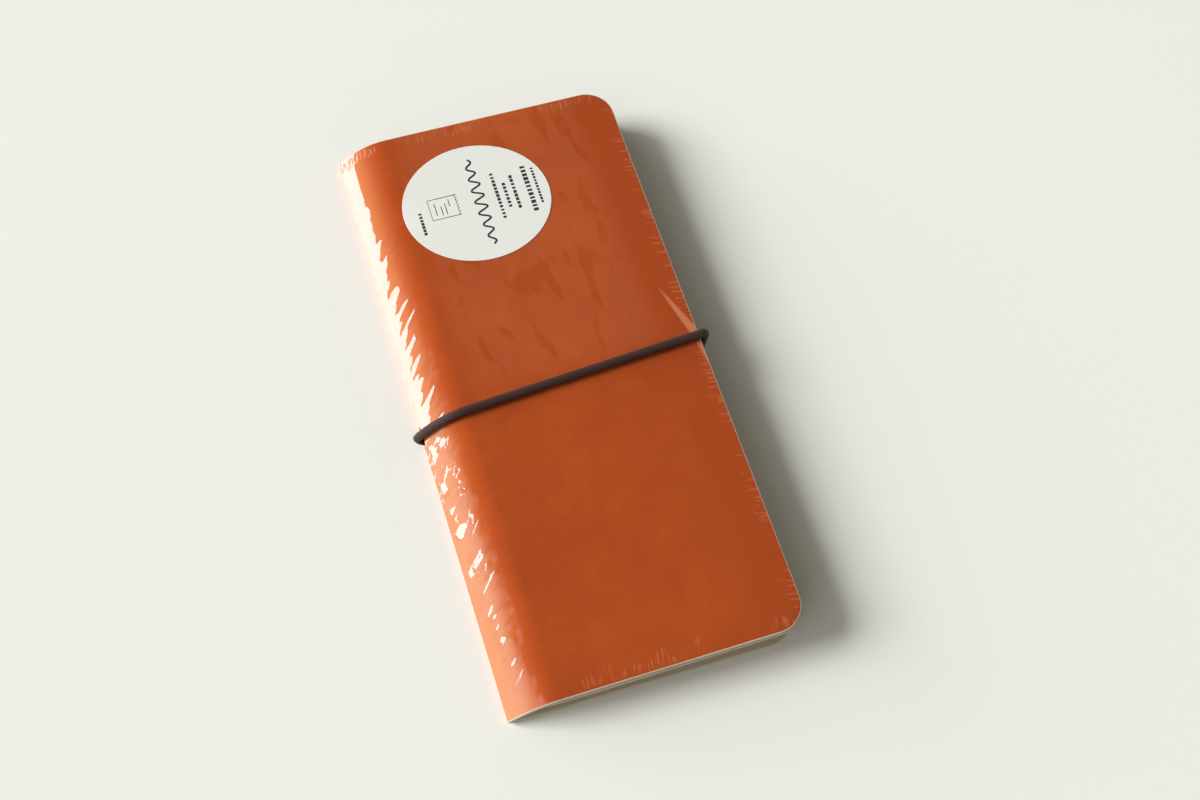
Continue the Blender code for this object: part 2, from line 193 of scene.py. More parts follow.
class Graph(Tree):
    """A material's node tree, with short ways to make its patterns."""

    def __init__(self, material: bpy.types.Material) -> None:
        """Start from a material's own Principled shader."""
        super().__init__(material.node_tree)
        self.shader = self.tree.nodes["Principled BSDF"]

    def shade(self, inputs: dict[str, Value]) -> None:
        """Set or link some of the shader's inputs."""
        for name, value in inputs.items():
            self.set(self.shader.inputs[name], value)

    def place(self, vector: Value, scale: Sequence[float], turn: float = 0.0) -> Socket:
        """Return a vector that is turned about Z and then scaled."""
        turned = self.add("ShaderNodeMapping", {"Vector": vector, "Rotation": (0.0, 0.0, turn)})
        return self.add("ShaderNodeMapping", {"Vector": turned.outputs[0], "Scale": scale}).outputs[0]

    def noise(self, vector: Value, scale: float, detail: float = 2.0, rough: float = 0.5) -> Socket:
        """Return a noise pattern's value."""
        inputs = {"Vector": vector, "Scale": scale, "Detail": detail, "Roughness": rough}
        return self.add("ShaderNodeTexNoise", inputs).outputs[0]

    def stretched(self, vector: Value, across: float, along: float, turn: float = 0.0,
                  detail: float = 1.0) -> Socket:
        """Return a noise pattern that is drawn out in one direction.

        Args:
            vector: The place on the surface.
            across: The pattern's scale in the first direction.
            along: Its scale in the second direction.
            turn: How far the pattern is turned.
            detail: How fine it gets.
        """
        return self.noise(self.place(vector, (across, along, 1.0), turn), 1.0, detail)

    def cells(self, vector: Value, scale: float, **settings: str) -> bpy.types.Node:
        """Return a Voronoi pattern's node."""
        return self.add("ShaderNodeTexVoronoi", {"Vector": vector, "Scale": scale}, **settings)

    def bump(self, height: Value, depth: float, normal: Value | None = None) -> Socket:
        """Return a normal that is bent by a height.

        Args:
            height: The pattern, from 0 to 1.
            depth: How deep the pattern is, in metres.
            normal: The normal that it starts from, or None for the surface's own.

        Returns:
            The bent normal.
        """
        inputs: dict[str | int, Value] = {"Height": height, "Distance": depth, "Strength": 1.0}
        if normal is not None:
            inputs["Normal"] = normal
        return self.add("ShaderNodeBump", inputs).outputs[0]

    def sheet(self) -> tuple[Socket, Socket, Socket]:
        """Return the place on the piece laid flat, and that place's two parts.

        Returns:
            The place as a vector, then its two parts.
        """
        flat = self.add("ShaderNodeUVMap", {}, uv_map=FLAT_MAP).outputs[0]
        parts = self.add("ShaderNodeSeparateXYZ", {"Vector": flat}).outputs
        return flat, parts[0], parts[1]

    def object_place(self) -> Socket:
        """Return the place in the piece's own frame."""
        return self.add("ShaderNodeTexCoord", {}).outputs["Object"]

    def facets(self, vector: Value, scale: Sequence[float], turn: float) -> Socket:
        """Return the height of flat facets that each lean their own way.

        Args:
            vector: The place on the surface.
            scale: Facets per metre in both directions.
            turn: How far the pattern is turned.

        Returns:
            The height, counted in a facet's width.
        """
        place = self.place(vector, scale, turn)
        cells = self.cells(place, 1.0, voronoi_dimensions="2D").outputs
        lean = self.vector("SUBTRACT", cells["Color"], (0.5, 0.5, 0.5)).outputs[0]
        step = self.vector("SUBTRACT", place, cells["Position"]).outputs[0]
        return self.vector("DOT_PRODUCT", lean, step).outputs["Value"]


MADE: dict[Finish, bpy.types.Material] = {}


@dataclass(frozen=True)
class Finish:
    """A finish with a colour and a roughness, which each kind of finish adds to."""

    name: str
    colour: Rgb
    roughness: float = 0.5

    def make(self) -> bpy.types.Material:
        """Return the finish as a material, which is made once.

        Returns:
            The material.
        """
        if self not in MADE:
            material = MADE[self] = bpy.data.materials.new(self.name)
            material.use_nodes = True
            material.diffuse_color = (*self.colour, 1.0)
            graph = Graph(material)
            graph.shade({"Base Color": self.colour, "Roughness": self.roughness})
            self.dress(graph)
        return MADE[self]

    def dress(self, graph: Graph) -> None:
        """Add the finish's own pattern to the tree."""

    def mottle(self, graph: Graph, pattern: Socket, share: float) -> None:
        """Let the colour sink to a share of itself where a pattern is low."""
        shade = tuple(part * share for part in self.colour)
        graph.shade({"Base Color": graph.mix(pattern, shade, self.colour)})


@dataclass
class Film:
    """The pack's clear shrunk film over the leather, laid on the sheet's flat map.

    Across runs from the spine's lower edge to the flap's free edge, and along runs to the end
    with the label.
    """

    graph: Graph
    length: float = 0.180
    run: float = 0.0866
    cord_at_edge: float = 0.0005
    pull_slant: float = 0.33
    pull_reach: float = 0.022
    pull_width: float = 0.070
    tuck_reach: float = 0.009
    tuck_width: float = 0.17
    bridge: float = 0.000655
    bridge_reach: float = 0.0040
    far_lift: float = 0.012
    crease_turn: float = -0.70

    def __post_init__(self) -> None:
        """Read the place on the sheet, and gather the wrinkles at the flap's edges."""
        self.flat, self.across, self.along = self.graph.sheet()
        self.wrinkles = self.edge_wrinkles()

    def band_across(self, *ramps: tuple[float, float]) -> Value:
        """Return a band across the sheet, as the product of its smooth ramps."""
        return self.graph.times(*(self.graph.fade(self.across, *ramp) for ramp in ramps))

    def band_along(self, *ramps: tuple[float, float]) -> Value:
        """Return a band along the sheet, as the product of its smooth ramps."""
        return self.graph.times(*(self.graph.fade(self.along, *ramp) for ramp in ramps))

    def standing(self) -> Socket:
        """Work out how far the film stands off, where it spans from the spine to the table.

        Returns:
            The height above the leather, in metres.
        """
        span = self.graph.times(self.band_across((self.bridge_reach, -self.bridge_reach)), self.bridge)
        lift = self.graph.times(self.across, self.far_lift, self.band_along((0.030, 0.085)))
        return self.graph.minus(span, lift)

    def open_film(self) -> Value:
        """Return where the film lies loosely on the flap, from 0 to 1, which is painted with pale haze."""
        return self.graph.times(self.band_across((0.014, 0.024), (0.080, 0.070)),
                                self.band_along((-0.006, 0.008)))

    def cord_pull(self) -> Socket:
        """Work out where the film is drawn tight to the cord at the flap's free edge, for a painted glint.

        Returns:
            The pull, from 0 to 1.
        """
        graph = self.graph
        inward = graph.minus(self.run, self.across)
        beyond = graph.minus(self.along, self.cord_at_edge)
        line = graph.maths("ABSOLUTE", graph.minus(inward, graph.times(beyond, self.pull_slant)))
        width = graph.times(graph.minus(self.pull_reach, beyond), self.pull_width)
        long_pull = graph.times(graph.fade(graph.minus(line, width), 0.0003, -0.0004),
                                graph.fade(beyond, 0.0010, 0.0020), graph.fade(beyond, 0.020, 0.013))
        short_width = graph.times(graph.maths("ADD", self.tuck_reach, beyond), self.tuck_width)
        short_pull = graph.times(graph.fade(graph.minus(inward, short_width), 0.0003, -0.0004),
                                 graph.fade(beyond, -0.0010, -0.0020))
        return graph.maths("MAXIMUM", long_pull, short_pull)

    def edge_wrinkles(self) -> Value:
        """Gather the film in short wrinkles at the flap's edges, which bend the coat and are painted pale as
        glints.

        Returns:
            The wrinkles, from 0 to 1.
        """
        graph, flat = self.graph, self.flat
        fore = graph.minus(self.run, self.across)
        fore_reach = graph.times(graph.noise(flat, 300.0, 0.0), 0.005)
        fore_lines = graph.times(graph.fade(graph.stretched(flat, 110.0, 1300.0, 0.2), 0.54, 0.66),
                                 graph.fade(graph.minus(fore, fore_reach), 0.0006, -0.0006))
        end = graph.minus(self.length / 2, graph.maths("ABSOLUTE", self.along))
        end_reach = graph.times(graph.noise(flat, 210.0, 0.0), 0.008)
        end_lines = graph.times(graph.fade(graph.stretched(flat, 1500.0, 150.0, 0.12), 0.48, 0.66),
                                graph.fade(graph.minus(end, end_reach), 0.001, -0.001),
                                graph.fade(end, 0.0006, 0.0022))
        return graph.times(graph.maths("MAXIMUM", fore_lines, end_lines),
                           graph.fade(graph.noise(flat, 75.0, 1.0), 0.36, 0.52))

    def creases(self) -> Socket | None:
        """Crease the film in long folds, with facets and streaks at the spine.

        Returns:
            The bent normal.
        """
        graph, flat, turn = self.graph, self.flat, self.crease_turn
        folds = graph.times(graph.minus(graph.stretched(flat, 60.0, 260.0, turn), 0.5),
                            self.band_across((0.0010, 0.0085), (0.0120, 0.0095)),
                            self.band_along((0.082, 0.030)))
        facets = graph.times(graph.facets(flat, (260.0, 430.0, 1.0), turn),
                             self.band_along((-0.006, -0.010), (-0.058, -0.044)),
                             self.band_across((0.0, 0.0008), (0.0085, 0.0065)))
        streaks = graph.times(graph.fade(graph.stretched(flat, 60.0, 250.0, turn, 0.0), 0.60, 0.72),
                              self.band_across((0.0035, 0.0055), (0.0135, 0.0105)),
                              self.band_along((-0.026, -0.036)))
        waves = graph.stretched(flat, 60.0, 28.0, 0.5, 2.0)
        normal = None
        for height, depth in ((waves, 0.0003), (self.wrinkles, 0.00006), (self.standing(), 1.0),
                              (folds, 0.0012), (facets, 0.0010), (streaks, 0.00017)):
            normal = graph.bump(height, depth, normal)
        return normal


@dataclass
class BackFilm(Film):
    """The film on the back, which spans the tight fold instead of following it."""

    spread: tuple[float, float, float] = (0.14, 300.0, 110000.0)
    span: float = 0.0018

    def standing(self) -> Socket:
        """Work out how far the film stands off round the back fold.

        Returns:
            The height above the leather, in metres.
        """
        first, second, third = self.spread
        travel = self.graph.maths("MINIMUM", self.across, self.span)
        rate = self.graph.maths("ADD", self.graph.times(travel, third), second)
        return self.graph.times(travel, self.graph.maths("ADD", self.graph.times(travel, rate), first))


@dataclass(frozen=True)
class CoverLeather(Finish):
    """Smooth artificial leather under the pack's film as its coat, with painted haze, glints and shade."""

    film: type[Film] = Film
    dark: Rgb = (0.385, 0.058, 0.0080)
    pale: Rgb = (0.49, 0.084, 0.0155)
    # Painted film haze, paler over the spine strip.
    painted_spine_haze: Rgb = (0.51, 0.145, 0.028)
    # Painted shade towards the flap's free edge.
    shaded: Rgb = (0.35, 0.053, 0.008)
    # Pale colour of the painted glints and haze on the film.
    line: Rgb = (0.66, 0.24, 0.12)
    # Painted film reflection on the spine's near half.
    painted_near_spine_haze: Rgb = (0.50, 0.240, 0.143)
    grain: float = 2400.0

    def dress(self, graph: Graph) -> None:
        """Add a slow mottle, fine streaks, a pore grain, the film's creases, and painted haze, glints and
        shade.

        Args:
            graph: The material's tree.
        """
        film = self.film(graph)
        flat = film.flat
        cloud = graph.noise(flat, 34.0, 5.0, 0.6)
        painted_haze_streaks = graph.fade(graph.stretched(flat, 190.0, 62.0, -0.15), 0.66, 0.58)
        tone: Value = self.dark
        # Besides the leather's own tone, this loop paints light: haze, shade and glints, marked below.
        for mask, weight, colour in (
            (graph.fade(cloud, 0.35, 0.70), 1.0, self.colour),
            (graph.fade(graph.noise(flat, 230.0, 2.0, 0.6), 0.35, 0.65), 0.35, self.dark),
            (graph.fade(graph.stretched(flat, 60.0, 420.0, detail=3.0), 0.55, 0.85), 0.4, self.pale),
            (graph.fade(graph.noise(flat, 900.0, 3.0, 0.65), 0.58, 0.80), 0.3, self.dark),
            # Painted haze: the spine strip is painted paler, for the film's sheen over it.
            (film.band_across((0.0135, 0.002)), 0.9, self.painted_spine_haze),
            # Painted shade: the flap is painted darker towards its free edge.
            (film.band_across((0.058, 0.086)), 0.8, self.shaded),
            # Painted reflection: salmon film haze on the spine's near half.
            (graph.times(film.band_across((0.0100, 0.0055)), film.band_along((0.004, -0.008))),
             0.35, self.painted_near_spine_haze),
            # Painted glints: the film's wrinkles, haze streaks and pull at the cord are painted pale.
            (film.wrinkles, 0.26, self.line),
            (graph.times(film.open_film(), painted_haze_streaks), 0.09, self.line),
            (film.cord_pull(), 0.6, self.line),
        ):
            tone = graph.mix(graph.times(mask, weight), tone, colour)

        pores = graph.cells(flat, self.grain, feature="SMOOTH_F1").outputs["Distance"]
        grain = graph.maths("ADD", pores, graph.times(graph.noise(flat, 5200.0, 2.0), 0.5))
        normal = graph.bump(graph.noise(flat, 130.0, 2.0), 0.00012)
        rough = graph.add("ShaderNodeMapRange", {"Value": cloud, "To Min": 0.46, "To Max": 0.56})
        graph.shade({"Base Color": tone, "Normal": graph.bump(grain, 0.000022, normal),
                     "Roughness": rough.outputs[0], "Specular IOR Level": 0.15,
                     "Coat Weight": 0.6, "Coat Roughness": 0.04, "Coat IOR": 2.2,
                     "Coat Normal": film.creases()})


@dataclass(frozen=True)
class Lining(Finish):
    """A pale fine-woven lining."""

    thread: float = 2900.0

    def dress(self, graph: Graph) -> None:
        """Add a plain weave and a faint mottle, laid flat on the sheet.

        Args:
            graph: The material's tree.
        """
        flat, *ways = graph.sheet()
        warp, weft = (graph.maths("SINE", graph.times(way, self.thread * math.pi)) for way in ways)
        graph.shade({"Normal": graph.bump(graph.times(warp, weft), 0.00003), "Sheen Weight": 0.2})
        self.mottle(graph, graph.noise(flat, 90.0, 3.0), 0.86)


@dataclass(frozen=True)
class FileLeather(Finish):
    """Thin matt leather of the file's walls and folds, with a pebbled grain."""

    grain: float = 1700.0
    depth: float = 0.00003

    def dress(self, graph: Graph) -> None:
        """Add a pebble grain and a slow change of tone.

        Args:
            graph: The material's tree.
        """
        place = graph.object_place()
        pebbles = graph.cells(place, self.grain).outputs["Distance"]
        graph.shade({"Normal": graph.bump(pebbles, self.depth), "Specular IOR Level": 0.3})
        self.mottle(graph, graph.noise(place, 60.0, 4.0), 0.72)


@dataclass(frozen=True)
class Board(Finish):
    """Raw board with short fibres."""

    def dress(self, graph: Graph) -> None:
        """Add flecks and a rough face.

        Args:
            graph: The material's tree.
        """
        flecks = graph.noise(graph.place(graph.object_place(), (900.0, 300.0, 900.0)), 1.0, 4.0, 0.7)
        graph.shade({"Normal": graph.bump(flecks, 0.00004)})
        self.mottle(graph, flecks, 0.7)


@dataclass(frozen=True)
class LabelPaper(Finish):
    """Coated white paper with a faint tooth."""

    def dress(self, graph: Graph) -> None:
        """Add the paper's tooth and a light gloss.

        Args:
            graph: The material's tree.
        """
        place = graph.object_place()
        graph.shade({"Normal": graph.bump(graph.noise(place, 3500.0, 3.0), 0.000008),
                     "Coat Weight": 0.5, "Coat Roughness": 0.12})
        self.mottle(graph, graph.noise(place, 45.0, 2.0), 0.965)


@dataclass(frozen=True)
class PrintedInk(Finish):
    """Black printing ink, a little uneven on the paper's tooth."""

    worn: Rgb = (0.16, 0.16, 0.155)

    def dress(self, graph: Graph) -> None:
        """Add thin spots and the paper's tooth.

        Args:
            graph: The material's tree.
        """
        place = graph.object_place()
        thin = graph.fade(graph.noise(place, 5200.0, 2.0), 0.55, 0.80)
        graph.shade({"Base Color": graph.mix(thin, self.colour, self.worn),
                     "Normal": graph.bump(graph.noise(place, 3500.0, 3.0), 0.000006)})


@dataclass(frozen=True)
class Braid(Finish):
    """The elastic's fine braided sheath, whose yarns follow its UV map."""

    pale: Rgb = (0.105, 0.055, 0.051)
    pitch: float = 0.0011
    yarns: int = 4

    def dress(self, graph: Graph) -> None:
        """Darken between the yarns, and add their fibres and a glossy streak.

        Args:
            graph: The material's tree.
        """
        flat, along, around = graph.sheet()
        turn = graph.times(along, math.tau / self.pitch)
        spin = graph.times(around, math.tau * self.yarns)
        one, two = (graph.maths("SINE", graph.maths(sign, turn, spin)) for sign in ("ADD", "SUBTRACT"))
        yarn = graph.maths("ABSOLUTE", graph.times(one, two))
        fibre = graph.times(graph.stretched(flat, 9000.0, 30.0, 0.4, 2.0), 0.3)
        tone = graph.mix(graph.times(yarn, 0.75), self.colour, self.pale)
        graph.shade({
            "Base Color": graph.mix(fibre, tone, self.pale),
            "Normal": graph.bump(graph.maths("ADD", yarn, fibre), 0.00004),
            "Specular IOR Level": 0.2,
            "Coat Weight": 0.2,
            "Coat Roughness": 0.1,
            "Coat Normal": graph.bump(graph.stretched(flat, 160.0, 26.0, detail=2.0), 0.0004),
        })


@dataclass(frozen=True)
class Table(Finish):
    """The plain pale table top, which stays as bright as it is written."""

    def dress(self, graph: Graph) -> None:
        """Add a faint change of tone."""
        self.mottle(graph, graph.noise(graph.object_place(), 3.0, 2.0), 0.985)


COVER = CoverLeather("cover_leather", (0.440, 0.070, 0.0105))
BACK_COVER = CoverLeather("back_leather_finish", COVER.colour, film=BackFilm)
EDGE = FileLeather("cut_edge", (0.62, 0.53, 0.41), 0.6, 2600.0)
BACKING = Lining("leather_backing", (0.60, 0.51, 0.38), 0.8)
LINING = Lining("cream_lining", (0.78, 0.70, 0.56), 0.75)
FILE_LEATHER = FileLeather("file_leather", (0.33, 0.056, 0.013), 0.55)
FILE_CARD = FileLeather("file_card", (0.34, 0.062, 0.017), 0.6, 2100.0, 0.00002)
BOARD = Board("grey_board", (0.36, 0.31, 0.24), 0.85)
LINED_BOARD = Board("lined_board", (0.66, 0.57, 0.43), 0.8)
PAPER = LabelPaper("label_paper", (0.765, 0.775, 0.73), 0.55)
INK = PrintedInk("label_ink", (0.022, 0.022, 0.024), 0.55)
BRAID = Braid("elastic_braid", (0.018, 0.008, 0.007))
KNOT = FileLeather("knot_cord", (0.014, 0.008, 0.008), 0.6, 3000.0)
TABLE = Table("table_top", (0.866, 0.878, 0.832), 0.6)


def clamp(value: float) -> float:
    """Return a value kept between 0 and 1."""
    return min(max(value, 0.0), 1.0)


def ease(value: float) -> float:
    """Return a smooth step's height, which is 0 up to 0 and 1 from 1 on."""
    share = clamp(value)
    return share * share * (3 - 2 * share)


def lerp_list(start: float, end: float, steps: int) -> list[float]:
    """Return evenly spread numbers from start to end, both kept."""
    return [start + (end - start) * step / steps for step in range(steps + 1)]


def spans(start: float, *parts: tuple[float, int]) -> list[float]:
    """Return numbers that run from start through several parts.

    Args:
        start: The first number.
        parts: Each part's last number and its even steps.

    Returns:
        The numbers, with each part's end named once.
    """
    numbers = [start]
    for end, steps in parts:
        numbers += lerp_list(numbers[-1], end, steps)[1:]
    return numbers


def circle(steps: int) -> list[tuple[float, float]]:
    """Return even points on a circle of radius 1."""
    return [(math.cos(math.tau * k / steps), math.sin(math.tau * k / steps)) for k in range(steps)]


def pairs_round(ring: Sequence[Item]) -> list[tuple[Item, Item]]:
    """Return each item of a closed ring with the one after it."""
    return list(zip(ring, [*ring[1:], ring[0]]))


def tube_faces(bm: Mesh, rings: Sequence[Sequence[Vert]], closed: bool) -> None:
    """Join rings of points to a tube.

    Args:
        bm: The mesh.
        rings: The rings, with equal numbers of points.
        closed: Whether the tube closes on itself instead of being capped at its ends.
    """
    pairs = pairs_round(rings)
    if not closed:
        pairs.pop()
        bm.faces.new(rings[0])
        bm.faces.new(rings[-1])
    for one, two in pairs:
        for (start, end), (above, beyond) in zip(pairs_round(one), pairs_round(two)):
            bm.faces.new((start, end, beyond, above)).smooth = True


def put(name: str, data: bpy.types.ID) -> bpy.types.Object:
    """Return a new object of the scene for some data.

    Args:
        name: The object's name.
        data: Its mesh, lamp or camera.

    Returns:
        The object.
    """
    made = bpy.data.objects.new(name, data)
    bpy.context.scene.collection.objects.link(made)
    return made


def finish_mesh(name: str, bm: Mesh, *finishes: Finish) -> bpy.types.Object:
    """Return a mesh as an object of the scene, with its faces turned outwards.

    Args:
        name: The piece's name.
        bm: The mesh, which is freed.
        finishes: The finishes of its material slots.

    Returns:
        The piece, with its place in its mesh.
    """
    bmesh.ops.recalc_face_normals(bm, faces=bm.faces)
    mesh = bpy.data.meshes.new(name)
    bm.to_mesh(mesh)
    bm.free()
    for finish in finishes:
        mesh.materials.append(finish.make())
    LOG.info("%s: %d faces", name, len(mesh.polygons))
    return put(name, mesh)


def dress_node(node: bpy.types.Object, finish: Finish) -> None:
    """Give a CAD node another material, and leave its mesh as it is."""
    for slot in node.material_slots:
        slot.link, slot.material = "OBJECT", finish.make()


@dataclass
class CoverLine:
    """The cover's outer surface, seen from the near end.

    Travel s is counted along the surface, from 0 at the spine's lower edge. It is negative
    round the back fold and over the back, and grows over the spine and the flap. A heading is
    the angle of travel above +X, and every bend turns clockwise.
    """

    width: float = 0.085
    back_fold_radius: float = 0.0016
    flap_fold_radius: float = 0.015
    flap_fold_turn: float = math.radians(20)
    spine_bulge: float = math.radians(15)
    flap_tilt: float = 7 * math.asin(0.00051 / 0.069)
    cord_at_spine: float = -0.0045
    cord_skew: float = 0.0050
    flap_top: float = field(default_factory=lambda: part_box("flap_leather")[1][2])
    flap_end: float = field(default_factory=lambda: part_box("flap_leather")[1][0])

    def __post_init__(self) -> None:
        """Work out the bends' centres and the lengths between them."""
        self.spine_high = self.flap_tilt + self.flap_fold_turn
        self.spine_low = self.spine_high + 2 * self.spine_bulge
        self.back_end = Vector((self.back_fold_radius - self.width / 2, 0.0))
        self.back_centre = self.back_end + Vector((0.0, self.back_fold_radius))
        start = self.back_centre + self.back_fold_radius * self.normal(self.spine_low)
        fold_step = self.arc_step(self.flap_fold_radius, self.spine_high, self.flap_tilt)
        unit = self.arc_step(1.0, self.spine_low, self.spine_high)
        slope = math.tan(self.flap_tilt)
        corner = Vector((self.flap_end, self.flap_top))
        rise = corner.y + slope * (start.x + fold_step.x - corner.x) - start.y - fold_step.y
        self.spine_radius = rise / (unit.y - slope * unit.x)
        self.spine_centre = start - self.spine_radius * self.normal(self.spine_low)
        spine_end = start + self.spine_radius * unit
        self.fold_centre = spine_end - self.flap_fold_radius * self.normal(self.spine_high)
        self.flap_start = spine_end + fold_step
        self.back_fold = self.back_fold_radius * (math.pi - self.spine_low)
        self.spine = self.spine_radius * 2 * self.spine_bulge
        self.fold = self.flap_fold_radius * self.flap_fold_turn
        self.fold_end = self.spine + self.fold
        self.run = self.fold_end + (corner - self.flap_start).length

    def cord_y(self, x: float) -> float:
        """Return where the elastic runs along Y at x."""
        return self.cord_at_spine + self.cord_skew * (x + self.width / 2) / self.width

    @staticmethod
    def normal(heading: float) -> Vector:
        """Return the outward normal at a heading."""
        return Vector((-math.sin(heading), math.cos(heading)))

    def arc_step(self, radius: float, start: float, end: float) -> Vector:
        """Return the step along a bend between two headings."""
        return radius * (self.normal(end) - self.normal(start))

    def at(self, s: float) -> tuple[Vector, Vector]:
        """Return the surface's point and its normal, both in XZ.

        Args:
            s: The travel along the surface.

        Returns:
            The point and the normal.
        """
        if s < -self.back_fold:
            return self.back_end - Vector((s + self.back_fold, 0.0)), self.normal(math.pi)
        if s >= self.fold_end:
            ahead = Vector((math.cos(self.flap_tilt), math.sin(self.flap_tilt)))
            return self.flap_start + (s - self.fold_end) * ahead, self.normal(self.flap_tilt)
        if s < 0:
            heading = self.spine_low - s / self.back_fold_radius
            centre, radius = self.back_centre, self.back_fold_radius
        elif s < self.spine:
            heading = self.spine_low - s / self.spine_radius
            centre, radius = self.spine_centre, self.spine_radius
        else:
            heading = self.spine_high - (s - self.spine) / self.flap_fold_radius
            centre, radius = self.fold_centre, self.flap_fold_radius
        return centre + radius * self.normal(heading), self.normal(heading)

    def place(self, s: float, y: float, depth: float) -> Vector:
        """Return a point in space.

        Args:
            s: The travel along the surface.
            y: The place along the holder.
            depth: How far the point lies under the surface.

        Returns:
            The point.
        """
        point, out = self.at(s)
        under = point - depth * out
        return Vector((under.x, y, under.y))


@dataclass
class Sheet:
    """A closed sheet with rounded edges, laid flat in s and y and bent by a placing rule.

    Its end at the highest s has round corners. The end at the lowest s is square, and cut flush
    where it meets its neighbour.
    """

    place: Callable[[float, float, float], Vector]
    start: float
    end: float
    half_length: float
    corner: float
    thickness: Callable[[float], float]
    rounding: float
    stations: Sequence[float]
    shares: Sequence[float] = tuple(lerp_list(-1.0, 1.0, 48))
    dent: Callable[[float, float], float] = lambda s, y: 0.0
    corner_steps: int = 10
    rim_steps: int = 4

    def columns(self) -> list[tuple[float, float, float]]:
        """Return each column's s, half length and the outline's heading there.

        Returns:
            The columns, from the lowest s on.
        """
        half, corner, end = (size - self.rounding for size in (self.half_length, self.corner, self.end))
        straight = [s for s in sorted(self.stations) if self.start < s < end - corner]
        return [(s, half, 0.0) for s in (self.start, *straight)] + [
            (end - corner + corner * math.sin(angle), half - corner + corner * math.cos(angle), angle)
            for angle in lerp_list(0.0, math.pi / 2, self.corner_steps)]

    def outline(self) -> list[tuple[float, float, float, float]]:
        """Return the outline's s and y, and the way out in both, once round the sheet.

        Returns:
            The outline's points, from the corner at the lowest s and y.
        """
        columns = self.columns()
        (start, near, _), (end, far, _) = columns[0], columns[-1]
        return [*((s, -half, math.sin(a), -math.cos(a)) for s, half, a in columns),
                *((end, far * share, 1.0, 0.0) for share in self.shares[1:-1]),
                *((s, half, math.sin(a), math.cos(a)) for s, half, a in reversed(columns)),
                *((start, near * share, 0.0, 0.0) for share in self.shares[-2:0:-1])]

    @staticmethod
    def border(cells: list[list[Vert]]) -> list[Vert]:
        """Return the points round a grid, in the outline's order."""
        return [*(column[0] for column in cells), *cells[-1][1:-1],
                *(column[-1] for column in reversed(cells)), *cells[0][-2:0:-1]]

    def build(self, name: str, *finishes: Finish) -> bpy.types.Object:
        """Build the sheet as an object.

        Args:
            name: The piece's name.
            finishes: The outer, rim and inner finishes, or one for all.

        Returns:
            The piece, with its place in its mesh.
        """
        bm = bmesh.new()
        flat_map = bm.loops.layers.uv.new(FLAT_MAP)
        flat: dict[Vert, tuple[float, float]] = {}

        def vertex(s: float, y: float, depth: float) -> Vert:
            """Add a point, which a dent moves the less the deeper it lies.

            Args:
                s: The travel along the surface.
                y: The place along the holder.
                depth: How far the point lies under the surface.

            Returns:
                The point.
            """
            thick = self.thickness(s)
            sunk = min(self.dent(s, y), thick - self.rounding) * (1 - depth / thick)
            made = bm.verts.new(self.place(s, y, depth + sunk))
            flat[made] = (s, y)
            return made

        def face(corners: Sequence[Vert], side: Side) -> None:
            """Add a face with its material and its place laid flat.

            Args:
                corners: The face's points.
                side: The side of the sheet that it is on.
            """
            made = bm.faces.new(corners)
            made.smooth = True
            made.material_index = side.value if len(finishes) > 1 else 0
            for loop in made.loops:
                loop[flat_map].uv = flat[loop.vert]

        top, bottom = ([[vertex(s, half * share, self.thickness(s) * under) for share in self.shares]
                        for s, half, _ in self.columns()] for under in (0, 1))
        rings = [self.border(top)]
        angles = lerp_list(0.0, math.pi / 2, self.rim_steps)[1:]
        for under, angle in [(0, a) for a in angles] + [(1, a) for a in reversed(angles)]:
            reach, fall = self.rounding * math.sin(angle), self.rounding * (1 - math.cos(angle))
            rings.append([vertex(s + ds * reach, y + dy * reach, abs(self.thickness(s) * under - fall))
                          for s, y, ds, dy in self.outline()])
        rings.append(self.border(bottom))

        for cells, side, turn in ((top, Side.OUTER, 1), (bottom, Side.INNER, -1)):
            for one, two in zip(cells, cells[1:]):
                for row in range(len(one) - 1):
                    face((one[row], two[row], two[row + 1], one[row + 1])[::turn], side)
        for upper, lower in zip(rings, rings[1:]):
            for (start, end), (under, beyond) in zip(pairs_round(upper), pairs_round(lower)):
                face((start, under, beyond, end), Side.RIM)
        return finish_mesh(name, bm, *finishes)


